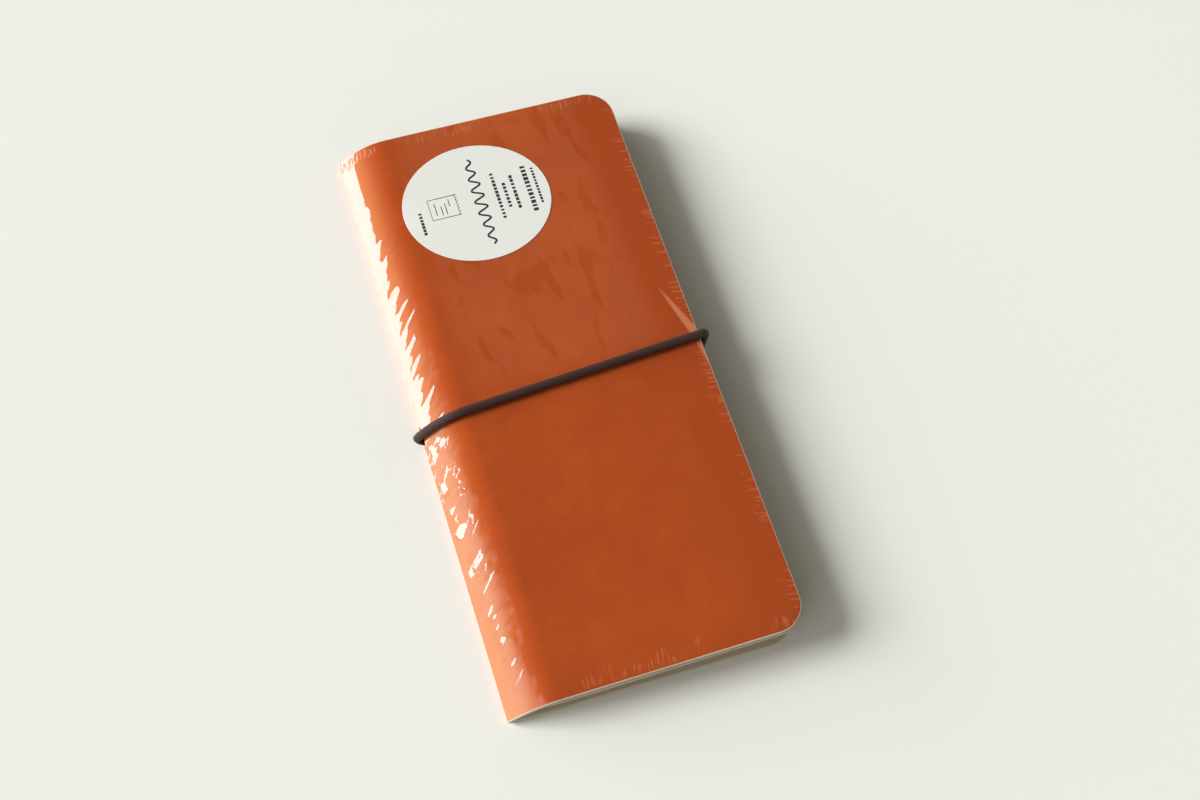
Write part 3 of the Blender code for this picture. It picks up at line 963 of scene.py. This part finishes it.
@dataclass
class Cover:
    """The leather cover: back, back fold, spine, flap fold and flap, with its linings."""

    line: CoverLine
    half_length: float = 0.0897
    lining_peek: float = 0.0003
    corner: float = 0.0085
    back_skin: float = 0.0013
    back_rounding: float = 0.0003
    flap_skin: float = 0.0009
    flap_rounding: float = 0.00035
    layer_gap: float = 0.00015
    board: float = 0.0004
    lining: float = 0.0003
    lining_rounding: float = 0.00012
    lining_start: float = 0.0005
    groove_depth: float = 0.00105
    groove_half: float = 0.0024
    groove_edge: float = 0.0006
    seam: float = 0.00004

    def back_groove(self, s: float, y: float) -> float:
        """Return how far the cord presses the back in.

        Args:
            s: The travel along the surface.
            y: The place along the holder.
        """
        away = abs(y - self.line.cord_y(self.line.at(s)[0].x))
        return self.groove_depth * ease((self.groove_half - away) / self.groove_edge + 0.5)

    def build_back(self) -> bpy.types.Object:
        """Build the back's leather with its tight fold up to the spine.

        Returns:
            The piece, with its place in its mesh.
        """
        line = self.line
        end = line.back_fold + line.width / 2 - self.lining_peek - line.back_end.x

        def thickness(s: float) -> float:
            """Return the leather's thickness, which thins to the flap's round the fold."""
            return self.back_skin + (self.flap_skin - self.back_skin) * clamp(1 - s / line.back_fold)

        # The column where the fold begins stands twice, which leaves a crease in the shading there.
        stations = [self.seam, line.back_fold] + spans(0.0, (line.back_fold, 14), (end, 40))
        # The grid is finest where the cord presses the back in.
        shares = spans(-1.0, (-0.10, 20), (0.06, 48), (1.0, 20))
        sheet = Sheet(lambda s, y, depth: line.place(-s, y, depth), 0.0, end, self.half_length, self.corner,
                      thickness, self.back_rounding, stations, shares, lambda s, y: self.back_groove(-s, y))
        return sheet.build("cover_back", BACK_COVER, EDGE, BACKING)

    def build_front(self) -> bpy.types.Object:
        """Build the leather of the spine, the flap fold and the flap in one sheet.

        Returns:
            The piece, with its place in its mesh.
        """
        line = self.line
        stations = [self.seam] + spans(0.0, (line.spine, 16), (line.fold_end, 12), (line.run, 36))
        sheet = Sheet(line.place, 0.0, line.run, self.half_length, self.corner,
                      lambda s: self.flap_skin, self.flap_rounding, stations)
        return sheet.build("cover_front", COVER, EDGE, BACKING)

    def build_lining(self) -> bpy.types.Object:
        """Build the pale lining behind spine and flap, whose edge peeks out round the flap.

        Returns:
            The piece, with its place in its mesh.
        """
        line = self.line
        thin = self.flap_skin + self.layer_gap

        def place(s: float, y: float, depth: float) -> Vector:
            """Place a point under the leather, and under the board too beyond the fold.

            Args:
                s: The travel along the surface.
                y: The place along the holder.
                depth: How far the point lies under the lining's outer face.

            Returns:
                The point.
            """
            share = clamp((s - line.spine) / line.fold)
            reach = self.lining_peek * share * y / self.half_length
            return line.place(s, y + reach, depth + thin + (self.layer_gap + self.board) * share)

        sheet = Sheet(place, self.lining_start, line.run + self.lining_peek, self.half_length, self.corner,
                      lambda s: self.lining, self.lining_rounding,
                      spans(0.0, (line.fold_end, 24), (line.run, 30)))
        return sheet.build("cover_lining", LINING)

    def build(self) -> None:
        """Build the cover's back, front and lining in place of their CAD nodes."""
        line = self.line
        back = self.build_back()
        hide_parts("back_leather", "back_fold")
        tuple(line.place(-line.back_fold, 0.0, 0.0))
        tuple(line.place(0.0, 0.0, 0.0))
        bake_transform(back)
        fold_start = tuple(line.place(line.spine, 0.0, 0.0))
        fold_end = tuple(line.place(line.fold_end, 0.0, 0.0))
        front = self.build_front()
        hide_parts("spine_leather", "flap_fold", "flap_leather")
        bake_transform(front)
        lining = self.build_lining()
        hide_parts("spine_lining", "flap_lining")
        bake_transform(lining)


@dataclass
class AccordionFile:
    """Seven pockets between eight leaves, hinged one upon the other at their floors."""

    pockets: int = 7
    leaf: float = 0.00025
    pitch_at_floor: float = 0.00127
    pitch_at_mouth: float = 0.00076
    leaf_width: float = 0.069
    half_length: float = 0.087
    floor_x: float = 0.040
    base_z: float = 0.0021
    mouth_corner: float = 0.005
    gusset_depth: float = 0.007
    gusset_sheet: float = 0.00013
    gusset_bulk: float = 1.3
    gusset_gap: float = 0.00003
    floor_strip: float = 0.0018
    floor_nose: float = 0.0006
    floor_gap: float = 0.00006
    floor_ripple: float = 0.06
    ripple_rates: tuple[float, float] = (900.0, 310.0)
    front_skin: float = 0.0005
    front_rounding: float = 0.0002
    layer_gap: float = 0.00015

    @property
    def tilt(self) -> float:
        """Return the turn from one leaf to the next."""
        return math.asin((self.pitch_at_floor - self.pitch_at_mouth) / self.leaf_width)

    def leaf_frame(self, index: int) -> Matrix:
        """Return a leaf's frame, whose origin lies on its underside at its floor.

        Args:
            index: The leaf, counted from the back wall.

        Returns:
            The frame, from the leaf's own place to the holder's.
        """
        frame = Matrix.Translation((self.floor_x, 0.0, self.base_z))
        step = Matrix.Translation((0.0, 0.0, self.pitch_at_floor)) @ Matrix.Rotation(-self.tilt, 4, "Y")
        for _ in range(index):
            frame = frame @ step
        return frame

    def body(self, index: int) -> str:
        """Return the body that a leaf belongs to."""
        return {0: "back", self.pockets: "front"}.get(index, f"leaf_{index}")

    def gusset_section(self, x: float) -> list[tuple[float, float]]:
        """Return a folded gusset's section as pairs of depth into the file and height.

        Args:
            x: The place across the file, which sets how far the leaves stand apart.

        Returns:
            The section, once round.
        """
        low = self.leaf + self.gusset_gap
        high = self.pitch_at_floor + x * math.tan(self.tilt) - self.gusset_gap
        half, sheet = (high - low) / 2, self.gusset_sheet
        shares = lerp_list(0.0, 1.0, 8)
        outer = [(self.gusset_depth * t, low + (half - sheet) * ease(t)) for t in shares]
        depth, bulk = self.gusset_depth - sheet, sheet * self.gusset_bulk
        inner = [(depth * t, high - sheet - (half - bulk) * ease(t)) for t in shares[:-1]]
        return [point for side in (outer, inner)
                for point in (*side, *((y, low + high - z) for y, z in reversed(side)))]

    def build_strip(self, name: str, index: int, sections: Sequence[Sequence[Point]]) -> bpy.types.Object:
        """Build a folded strip of leather in one pocket.

        Args:
            name: The piece's name.
            index: The pocket, counted from the back wall.
            sections: The strip's sections, in the frame of the leaf under it.

        Returns:
            The piece, with its place in its mesh.
        """
        frame = self.leaf_frame(index - 1)
        bm = bmesh.new()
        rings = [[bm.verts.new(frame @ Vector(point)) for point in section] for section in sections]
        tube_faces(bm, rings, closed=False)
        return finish_mesh(name, bm, FILE_LEATHER)

    def build_gusset(self, index: int, end: End) -> bpy.types.Object:
        """Build one pocket's gusset, a strip folded inwards between two leaves.

        Args:
            index: The pocket, counted from the back wall.
            end: The end of the holder that it closes.

        Returns:
            The piece, with its place in its mesh.
        """
        reach = lerp_list(self.mouth_corner - self.leaf_width, -self.floor_strip - self.floor_nose, 20)
        return self.build_strip(f"{end.name.lower()}_pleat_{index}", index, [
            [(x, end.value * (self.half_length - y), z) for y, z in self.gusset_section(x)] for x in reach])

    def build_floor(self, index: int) -> bpy.types.Object:
        """Build one pocket's floor, a strip of leather folded round to a soft nose.

        Args:
            index: The pocket, counted from the back wall.

        Returns:
            The piece, with its place in its mesh.
        """
        low = self.leaf + self.floor_gap
        high = self.pitch_at_floor - self.floor_gap
        middle, half = (low + high) / 2, (high - low) / 2
        nose = [(self.floor_nose * math.cos(a), middle + half * math.sin(a))
                for a in lerp_list(-math.pi / 2, math.pi / 2, 12)]
        hollow = [(-self.floor_strip, high - self.floor_strip * math.tan(self.tilt)),
                  (-self.floor_strip / 2, middle), (-self.floor_strip, low)]
        short, long = self.ripple_rates
        sections = []
        for y in lerp_list(-self.half_length, self.half_length, 60):
            swell = 1 + self.floor_ripple * math.sin(y * short + index) * math.sin(y * long - index)
            sections.append([(x * swell, y, z) for x, z in nose] + [(x, y, z) for x, z in hollow])
        return self.build_strip(f"floor_fold_{index}", index, sections)

    def build_front(self) -> bpy.types.Object:
        """Build the leather that faces the file's front wall.

        Returns:
            The piece, with its place in its mesh.
        """
        frame = self.leaf_frame(self.pockets)
        top = self.leaf + self.layer_gap + self.front_skin
        sheet = Sheet(lambda s, y, depth: frame @ Vector((-s, y, top - depth)), 0.0, self.leaf_width,
                      self.half_length, self.mouth_corner, lambda s: self.front_skin, self.front_rounding,
                      lerp_list(0.0, self.leaf_width, 12))
        return sheet.build("front_facing", FILE_LEATHER)

    def build(self, nodes: dict[str, bpy.types.Object]) -> None:
        """Build the file's soft pieces and dress its walls.

        Args:
            nodes: The frame's CAD nodes by name.
        """
        for name in ["file_back_wall", "file_front_wall"] + [f"divider_{i}" for i in range(1, self.pockets)]:
            dress_node(nodes[name], FILE_CARD)
        for index in range(1, self.pockets + 1):
            below, above = self.body(index - 1), self.body(index)
            for end in End:
                pleat = self.build_gusset(index, end)
                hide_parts(f"{end.name.lower()}_gusset_{index}")
                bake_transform(pleat)
            fold = self.build_floor(index)
            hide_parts(f"pocket_floor_{index}")
            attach(fold, below)
        front = self.build_front()
        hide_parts("front_leather")
        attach(front, "front")


@dataclass
class ElasticLoop:
    """The braided elastic loop round the closed holder, and the knot that anchors it.
    """

    line: CoverLine
    thickness: float = 0.0025
    gap: float = 0.00004
    peek: float = 0.0004
    flat: float = 0.00075
    lift: float = 0.0001
    sides: int = 24
    ring_step: float = 0.00025
    relief: float = 0.00004
    knot_cord: float = 0.0011
    knot_reach: float = 0.00105
    knot_spread: float = 0.45
    spine_layers: float = 0.0015
    neck_radii: tuple[float, ...] = (0.0009, 0.00105, 0.00105, 0.0007)
    neck_top: float = 0.0003
    drop: Point = (-0.0463, 0.0, -0.00047)
    drop_slope: float = 0.006
    spine_turn_shares: tuple[tuple[float, float], ...] = ((0.35, 0.12), (0.7, 0.5), (1.0, 1.0))
    fore_turn_shares: tuple[tuple[float, float], ...] = ((0.0, 0.8), (0.34, 0.5), (0.7, 0.2))

    def stations(self) -> list[Vector]:
        """Return the loop's stations as x, z and thickness, once round the holder.

        Returns:
            The stations, which start under the back.
        """
        line, half = self.line, self.line.width / 2
        offset = self.gap + self.thickness / 2
        side = half + offset
        flat_z = self.lift + self.flat / 2
        spread = self.thickness - self.flat
        spine_end = line.back_end.x
        route = [Vector((x, flat_z, self.flat)) for x in lerp_list(half - offset, spine_end, 14)]
        for share, roundness in self.spine_turn_shares:
            angle = share * math.pi / 2
            x = spine_end - (side + spine_end) * math.sin(angle)
            z = flat_z + line.back_fold_radius * (1 - math.cos(angle))
            route.append(Vector((x, z, self.flat + spread * roundness)))

        corner, out = line.at(line.run + self.peek)
        begin, _ = line.at(line.fold_end)
        over = [point + offset * normal for point, normal in map(line.at, lerp_list(0.0, line.fold_end, 14))]
        over += [begin.lerp(corner, share) + offset * out for share in lerp_list(0.0, 1.0, 14)[1:-1]]
        over += [corner + offset * line.normal(heading)
                 for heading in lerp_list(line.flap_tilt, -math.pi / 2, 6)]
        over += [Vector((corner.x + offset, z))
                 for z in lerp_list(corner.y - self.thickness, 2 * self.thickness, 4)]
        route += [Vector((*place, self.thickness)) for place in over]

        for share, roundness in self.fore_turn_shares:
            angle = share * math.pi / 2
            x = side - offset * (1 - math.cos(angle))
            z = flat_z + (self.thickness - flat_z) * (1 - math.sin(angle))
            route.append(Vector((x, z, self.flat + spread * roundness)))
        return route

    def route(self) -> list[Vector]:
        """Return close, even points on the smooth closed curve through the stations.

        Returns:
            The points, as x, z and thickness.
        """
        stations = self.stations()
        fine: list[Vector] = []
        for index in range(len(stations)):
            before, here, ahead, beyond = (stations[(index + k) % len(stations)] for k in (-1, 0, 1, 2))
            steps = max(2, round((ahead - here).length / self.ring_step))
            for t in lerp_list(0.0, 1.0, steps)[:-1]:
                fine.append(0.5 * (2 * here + (ahead - before) * t
                                   + (2 * before - 5 * here + 4 * ahead - beyond) * t * t
                                   + (3 * here - before - 3 * ahead + beyond) * t ** 3))
        return fine

    def section(self, before: Vector, point: Vector, ahead: Vector, travel: float) -> list[Point]:
        """Return the loop's section at one point of its route, with its yarns in relief.

        Args:
            before: The point before it.
            point: The point.
            ahead: The point after it.
            travel: The route's length up to it.

        Returns:
            The section's points, once round.
        """
        way = Vector((ahead.x - before.x, ahead.y - before.y)).normalized()
        high, wide = point.z / 2, self.thickness - point.z / 2
        middle = self.line.cord_y(point.x)
        phase = math.tau * travel / BRAID.pitch
        section = []
        for side in range(self.sides):
            angle = math.tau * side / self.sides
            yarn = math.sin(phase + BRAID.yarns * angle) * math.sin(phase - BRAID.yarns * angle)
            swell = self.relief * (abs(yarn) - 1)
            up = (high + swell) * math.sin(angle)
            section.append((point.x - way.y * up, middle + (wide + swell) * math.cos(angle),
                            point.y + way.x * up))
        return section

    def build_loop(self) -> bpy.types.Object:
        """Build the loop, with a UV map of the travel along it and the share of the way round.

        Returns:
            The piece, with its place in its mesh.
        """
        route = self.route()
        bm = bmesh.new()
        flat_map = bm.loops.layers.uv.new(FLAT_MAP)
        rings, lengths = [], [0.0]
        for before, point, ahead in zip([route[-1], *route], route, [*route[1:], route[0]]):
            if rings:
                lengths.append(lengths[-1] + (point - before).xy.length)
            rings.append([bm.verts.new(place) for place in self.section(before, point, ahead, lengths[-1])])
        lengths.append(lengths[-1] + self.ring_step)
        shares = lerp_list(0.0, 1.0, self.sides)
        for (one, two), near, far in zip(pairs_round(rings), lengths, lengths[1:]):
            quads = zip(pairs_round(one), pairs_round(two), shares, shares[1:])
            for (start, end), (above, beyond), low, high in quads:
                face = bm.faces.new((start, end, beyond, above))
                face.smooth = True
                for loop, corner in zip(face.loops, ((near, low), (near, high), (far, high), (far, low))):
                    loop[flat_map].uv = corner
        return finish_mesh("elastic_loop", bm, BRAID)

    def build_knot(self) -> bpy.types.Object:
        """Build the knot inside the spine, with the short neck that fills the spine's hole.

        Returns:
            The piece, with its place in its mesh.
        """
        line = self.line
        point, out = line.at(line.spine / 2)
        turn = Vector((0, 0, 1)).rotation_difference(Vector((out.x, 0, out.y))).to_matrix().to_4x4()
        place = Matrix.Translation((point.x, line.cord_y(point.x), point.y)) @ turn
        radius, reach = self.knot_cord / 2, self.knot_reach
        sink = self.spine_layers + reach + radius
        path = [Vector((reach * self.knot_spread * (math.sin(t) + 2 * math.sin(2 * t)),
                        reach * self.knot_spread * (math.cos(t) - 2 * math.cos(2 * t)),
                        -sink - reach * 0.5 * math.sin(3 * t))) for t in lerp_list(0.0, math.tau, 96)[:-1]]
        bm = bmesh.new()
        tube_faces(bm, self.tube(bm, path, radius), closed=True)
        rings = [[bm.verts.new((wide * x, wide * y, z)) for x, y in circle(16)]
                 for wide, z in zip(self.neck_radii, (-sink, -self.spine_layers, -self.neck_top, 0.0))]
        tube_faces(bm, rings, closed=False)
        bmesh.ops.transform(bm, matrix=place, verts=bm.verts)
        return finish_mesh("anchor_knot", bm, KNOT)

    @staticmethod
    def tube(bm: Mesh, path: Sequence[Vector], radius: float, sides: int = 10) -> list[list[Vert]]:
        """Return rings of points round a closed path in space.

        Args:
            bm: The mesh that the points go into.
            path: The path's points.
            radius: The tube's radius.
            sides: How many points each ring has.

        Returns:
            The rings.
        """
        rings = []
        for before, point, ahead in zip([path[-1], *path], path, [*path[1:], path[0]]):
            way = (ahead - before).normalized()
            side = way.cross(Vector((0, 0, 1))).normalized()
            above = side.cross(way)
            rings.append([bm.verts.new(point + radius * (x * side + y * above)) for x, y in circle(sides)])
        return rings

    def build(self) -> None:
        """Build loop and knot and say what they move with."""
        loop = self.build_loop()
        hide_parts("elastic_cord")
        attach(loop, "back")
        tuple(self.drop)
        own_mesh(loop)
        knot = self.build_knot()
        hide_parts("cord_knot")
        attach(knot, "spine")


class PrintedRow(Tree):
    """A Geometry Nodes tree that prints a row of dashes of uneven length."""

    sockets = {"Length": "Float", "Dashes": "Int", "Height": "Float", "Ink": "Float",
               "Shortest": "Float", "Longest": "Float", "Seed": "Int", "Finish": "Material"}
    shortest = 0.45
    longest = 0.86

    def __init__(self) -> None:
        """Build the tree with its named inputs."""
        super().__init__(bpy.data.node_groups.new("printed_row", "GeometryNodeTree"))
        for name, kind in self.sockets.items():
            self.tree.interface.new_socket(name=name, in_out="INPUT", socket_type=f"NodeSocket{kind}")
        self.tree.interface.new_socket(name="Geometry", in_out="OUTPUT", socket_type="NodeSocketGeometry")
        given = self.tree.nodes.new("NodeGroupInput").outputs
        pitch = self.maths("DIVIDE", given["Length"], given["Dashes"])
        first = self.times(self.minus(pitch, given["Length"]), 0.5)
        points = self.add("GeometryNodeMeshLine", {
            "Count": given["Dashes"], "Start Location": self.combine(0.0, first, 0.0),
            "Offset": self.combine(0.0, pitch, 0.0)})
        dash = self.add("GeometryNodeMeshCube", {"Size": self.combine(given["Height"], 1.0, given["Ink"])})
        share = self.add("FunctionNodeRandomValue", {
            2: given["Shortest"], 3: given["Longest"], "Seed": given["Seed"]}, data_type="FLOAT")
        reach = self.times(pitch, share.outputs[1])
        row = self.add("GeometryNodeInstanceOnPoints", {
            "Points": points.outputs[0], "Instance": dash.outputs[0],
            "Scale": self.combine(1.0, reach, 1.0)})
        real = self.add("GeometryNodeRealizeInstances", {"Geometry": row.outputs[0]})
        inked = self.add("GeometryNodeSetMaterial", {
            "Geometry": real.outputs[0], "Material": given["Finish"]})
        self.add("NodeGroupOutput", {"Geometry": inked.outputs[0]})

    def combine(self, x: Value, y: Value, z: Value) -> Socket:
        """Return a vector made of its three parts."""
        return self.add("ShaderNodeCombineXYZ", {"X": x, "Y": y, "Z": z}).outputs[0]

    def mesh(self, length: float, dashes: int, height: float, ink: float, seed: int) -> bpy.types.Mesh:
        """Return one row of dashes, which runs along Y round its middle.

        Args:
            length: The row's length.
            dashes: How many dashes it has.
            height: The dashes' height, across the row.
            ink: The ink's thickness.
            seed: The start of the dashes' random lengths.

        Returns:
            The row's mesh.
        """
        holder = put("printed_row", bpy.data.meshes.new("printed_row"))
        modifier = holder.modifiers.new("printed_row", "NODES")
        modifier.node_group = self.tree
        values = {"Length": length, "Dashes": dashes, "Height": height, "Ink": ink, "Seed": seed,
                  "Shortest": self.shortest, "Longest": self.longest, "Finish": INK.make()}
        for item in self.tree.interface.items_tree:
            if item.in_out == "INPUT":
                modifier[item.identifier] = values[item.name]
        evaluated = holder.evaluated_get(bpy.context.evaluated_depsgraph_get())
        mesh = bpy.data.meshes.new_from_object(evaluated)
        bpy.data.objects.remove(holder)
        return mesh


@dataclass
class PaperLabel:
    """The oval paper label on the flap, with plain marks of its own.

    A row is given by its place to the right and up from the label's middle, its length, its
    number of dashes and their height. The rule has its place, length and swing, and the slip its
    place, width and height. Each of the slip's lines has its height and its two ends, all as
    shares of the slip.
    """

    line: CoverLine
    across: float = 0.045
    along: float = 0.0395
    sheet: float = 0.00012
    gap: float = 0.00003
    from_fore_edge: float = 0.050
    from_far_end: float = 0.029
    half_length: float = 0.090
    peek: float = 0.0003
    ink: float = 0.000015
    rule_stroke: float = 0.000612
    slip_stroke: float = 0.000238
    rows: tuple[tuple[float, float, float, int, float], ...] = (
        (-0.0176, -0.0030, 0.0080, 7, 0.0009),
        (0.0066, 0.0005, 0.0165, 13, 0.0010),
        (0.0093, 0.0000, 0.0090, 7, 0.0010),
        (0.0120, 0.0005, 0.0120, 9, 0.0010),
        (0.0164, 0.0005, 0.0165, 12, 0.0015),
        (0.0190, 0.0010, 0.0130, 12, 0.0008),
    )
    rule: tuple[float, float, float, float] = (0.0010, 0.0000, 0.0300, 0.0017)
    rule_waves: float = 7.5
    rule_taper: float = 0.55
    slip: tuple[float, float, float, float] = (-0.0100, 0.0008, 0.0070, 0.0088)
    slip_teeth: int = 6
    slip_tooth: float = 0.0006
    slip_lines: tuple[Point, ...] = ((0.2, 0.2, 0.8), (0.4, 0.15, 0.6), (0.55, 0.15, 0.7), (0.7, 0.5, 0.85))

    def on_label(self, right: float, up: float, height: float) -> Vector:
        """Return a point on the label: right is along +X, up along +Y, from its middle."""
        s = self.line.run + self.peek - self.from_fore_edge + right
        return self.line.place(s, self.half_length - self.from_far_end + up, -height)

    def build_paper(self) -> bpy.types.Object:
        """Build the oval sheet of paper.

        Returns:
            The piece, with its place in its mesh.
        """
        bm = bmesh.new()
        top = self.gap + self.sheet
        rounding = self.sheet / 2
        rings = [self.oval(bm, share, -rounding, self.gap) for share in (0.5, 0.98)]
        rings += [self.oval(bm, 1.0, rounding * (math.cos(a) - 1), self.gap + rounding * (math.sin(a) + 1))
                  for a in lerp_list(-math.pi / 2, math.pi / 2, 4)]
        rings += [self.oval(bm, share, -rounding, top) for share in (0.997, 0.98, 0.6, 0.3)]
        tube_faces(bm, rings, closed=False)
        return finish_mesh("label", bm, PAPER)

    def oval(self, bm: Mesh, share: float, extra: float, height: float, steps: int = 128) -> list[Vert]:
        """Return a ring of points on an oval round the label's middle.

        Args:
            bm: The mesh that the points go into.
            share: The oval's share of the label's size.
            extra: What is added all round.
            height: The ring's height above the leather.
            steps: How many points it has.
        """
        wide, tall = self.across / 2 * share + extra, self.along / 2 * share + extra
        return [bm.verts.new(self.on_label(wide * x, tall * y, height)) for x, y in circle(steps)]

    def build_marks(self) -> bpy.types.Object:
        """Build the label's printed marks: rows of dashes, a wavy rule and a small receipt.

        Returns:
            The piece, with its place in its mesh.
        """
        bm = bmesh.new()
        face = self.gap + self.sheet
        tree = PrintedRow()
        for index, (right, up, length, dashes, height) in enumerate(self.rows):
            mesh = tree.mesh(length, dashes, height, self.ink, index)
            known = set(bm.verts)
            bm.from_mesh(mesh)
            for vert in set(bm.verts) - known:
                x, y, z = vert.co
                vert.co = self.on_label(right + x, up + y, face + z)
            bpy.data.meshes.remove(mesh)
        for path, stroke, closed in self.pen_lines():
            self.pen_stroke(bm, path, stroke, face, closed)
        return finish_mesh("label_marks", bm, INK)

    def pen_lines(self) -> list[tuple[list[Vector], float, bool]]:
        """Return the drawn lines as their points, their width and whether they close.

        Returns:
            The lines.
        """
        right, up, length, swing = self.rule
        rule = []
        for share in lerp_list(0.0, 1.0, 110):
            taper = 1 - self.rule_taper * (1 - math.sin(math.pi * share))
            x = right + swing * taper * math.sin(math.tau * self.rule_waves * share)
            rule.append(Vector((x, up + length * (share - 0.5))))
        lines = [(rule, self.rule_stroke, False)]

        right, up, wide, tall = self.slip
        low = right - tall / 2
        slip = [Vector((low, up - wide / 2)), Vector((low, up + wide / 2))]
        for tooth, y in enumerate(lerp_list(up + wide / 2, up - wide / 2, 2 * self.slip_teeth)):
            slip.append(Vector((low + tall - self.slip_tooth * (tooth % 2), y)))
        lines.append((slip, self.slip_stroke, True))
        for share, *ends in self.slip_lines:
            path = [Vector((low + tall * share, up + wide * (where - 0.5))) for where in ends]
            lines.append((path, self.slip_stroke, False))
        return lines

    def pen_stroke(self, bm: Mesh, path: Sequence[Vector], width: float, face: float, closed: bool) -> None:
        """Add a flat inked line to a mesh.

        Args:
            bm: The mesh.
            path: The line's points on the label.
            width: The line's width.
            face: The height of the paper's face.
            closed: Whether the line ends where it starts.
        """
        first, last = (path[-1], path[0]) if closed else (path[0], path[-1])
        rings = []
        for before, here, ahead in zip([first, *path], path, [*path[1:], last]):
            way = (ahead - before).normalized()
            side = Vector((-way.y, way.x)) * width / 2
            left, right = here + side, here - side
            corners = ((left, 0.0), (right, 0.0), (right, self.ink), (left, self.ink))
            rings.append([bm.verts.new(self.on_label(spot.x, spot.y, face + height))
                          for spot, height in corners])
        tube_faces(bm, rings, closed=closed)

    def build(self) -> None:
        """Build the label and say what it moves with."""
        marks = self.build_marks()
        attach(marks, "flap")
        paper = self.build_paper()
        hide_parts("paper_label")
        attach(paper, "flap")


@dataclass
class Studio:
    """The table, the lamps and the camera."""

    image: tuple[int, int] = (1200, 800)
    focal_pixels: float = 1550.0
    yaw: float = math.radians(-32.9)
    pitch: float = math.radians(64.5)
    roll: float = math.radians(16.2)
    distance: float = 0.455
    target: tuple[float, float] = (0.0111, -0.0059)
    sensor: float = 36.0
    near_clip: float = 0.01
    lamp_distance: float = 20.0
    table_reach: float = 1.6
    table_top: float = -0.0002
    bright_side: Point = (-0.8529, -0.2285, 0.4695)
    bright_room: Rgb = (1.10, 1.09, 1.05)
    walls: Rgb = (0.46, 0.445, 0.39)
    ceiling: Rgb = (0.085, 0.08, 0.065)
    backdrop: Rgb = (0.86, 0.865, 0.825)
    ceiling_ramp: tuple[float, float] = (0.30, 0.80)
    bright_ramp: tuple[float, float] = (0.74, 0.92)

    def build_camera(self) -> None:
        """Make the camera that takes the photograph's view."""
        data = bpy.data.cameras.new("camera")
        data.sensor_width = self.sensor
        data.lens = self.focal_pixels * self.sensor / self.image[0]
        data.clip_start = self.near_clip
        back = Vector((math.sin(self.yaw) * math.cos(self.pitch),
                       -math.cos(self.yaw) * math.cos(self.pitch), math.sin(self.pitch)))
        right = Vector((math.cos(self.yaw), math.sin(self.yaw), 0.0))
        turned = math.cos(self.roll) * right + math.sin(self.roll) * back.cross(right)
        place = Matrix((turned, back.cross(turned), back)).transposed().to_4x4()
        place.translation = Vector((*self.target, 0.0)) + self.distance * back
        camera = put("camera", data)
        camera.matrix_world = place
        bpy.context.scene.camera = camera

    def build_table(self) -> None:
        """Make the plain pale table."""
        bm = bmesh.new()
        bmesh.ops.create_grid(bm, x_segments=1, y_segments=1, size=self.table_reach)
        table = finish_mesh("table", bm, TABLE)
        table.location.z = self.table_top

    def lamp(self, name: str, azimuth: float, elevation: float, angles: tuple[float, float],
             level: float, colour: Rgb, mirrored: bool) -> None:
        """Make an area lamp that faces the holder.

        Args:
            name: The lamp's name.
            azimuth: Its direction round the holder, in degrees from +X towards +Y.
            elevation: Its height above the table, in degrees.
            angles: Its width and height as seen from the holder, in degrees.
            level: The share of full light that it throws on a sheet turned to it.
            colour: Its colour.
            mirrored: Whether glossy surfaces mirror it.
        """
        turn, rise = math.radians(azimuth), math.radians(elevation)
        way = Vector((math.cos(turn) * math.cos(rise), math.sin(turn) * math.cos(rise), math.sin(rise)))
        data = bpy.data.lights.new(name, "AREA")
        data.shape = "RECTANGLE"
        data.size, data.size_y = (2 * self.lamp_distance * math.tan(math.radians(a) / 2) for a in angles)
        data.color = colour
        data.energy = level * 4 * math.pi * self.lamp_distance ** 2
        lamp = put(name, data)
        lamp.location = self.lamp_distance * way
        lamp.rotation_euler = way.to_track_quat("Z", "Y").to_euler()
        lamp.visible_glossy = mirrored

    def build_room(self) -> None:
        """Make the room's soft light, which is brighter on the window's side."""
        world = bpy.context.scene.world = bpy.data.worlds.new("room")
        world.use_nodes = True
        tree = Tree(world.node_tree)
        way = tree.add("ShaderNodeTexCoord", {}).outputs["Generated"]
        towards = tree.vector("DOT_PRODUCT", way, Vector(self.bright_side).normalized()).outputs["Value"]
        height = tree.add("ShaderNodeSeparateXYZ", {0: way}).outputs["Z"]
        room = tree.mix(tree.fade(height, *self.ceiling_ramp), self.walls, self.ceiling)
        room = tree.mix(tree.fade(towards, *self.bright_ramp), room, self.bright_room)
        seen = tree.add("ShaderNodeLightPath", {}).outputs["Is Camera Ray"]
        tree.set(tree.tree.nodes["Background"].inputs["Color"], tree.mix(seen, room, self.backdrop))

    def build(self) -> None:
        """Build the camera, the table, the window, its low bright part and the room."""
        self.build_camera()
        self.build_table()
        self.lamp("window", 161.5, 30.0, (26.0, 24.0), 1.055, (0.985, 1.0, 1.0), False)
        self.lamp("window_foot", 142.2, 9.55, (34.5, 14.9), 0.32, (1.0, 0.92, 1.0), True)
        self.build_room()
        bpy.context.scene.view_settings.view_transform = "Standard"


def main() -> None:
    """Build the looks, piece by piece."""
    logging.basicConfig(level=logging.INFO, format="%(message)s")
    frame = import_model()
    Studio().build()
    line = CoverLine()
    Cover(line).build()
    AccordionFile().build(frame["nodes"])
    ElasticLoop(line).build()
    PaperLabel(line).build()
    dress_node(frame["nodes"]["back_board"], LINED_BOARD)
    dress_node(frame["nodes"]["flap_board"], BOARD)


if __name__ == "__main__":
    main()
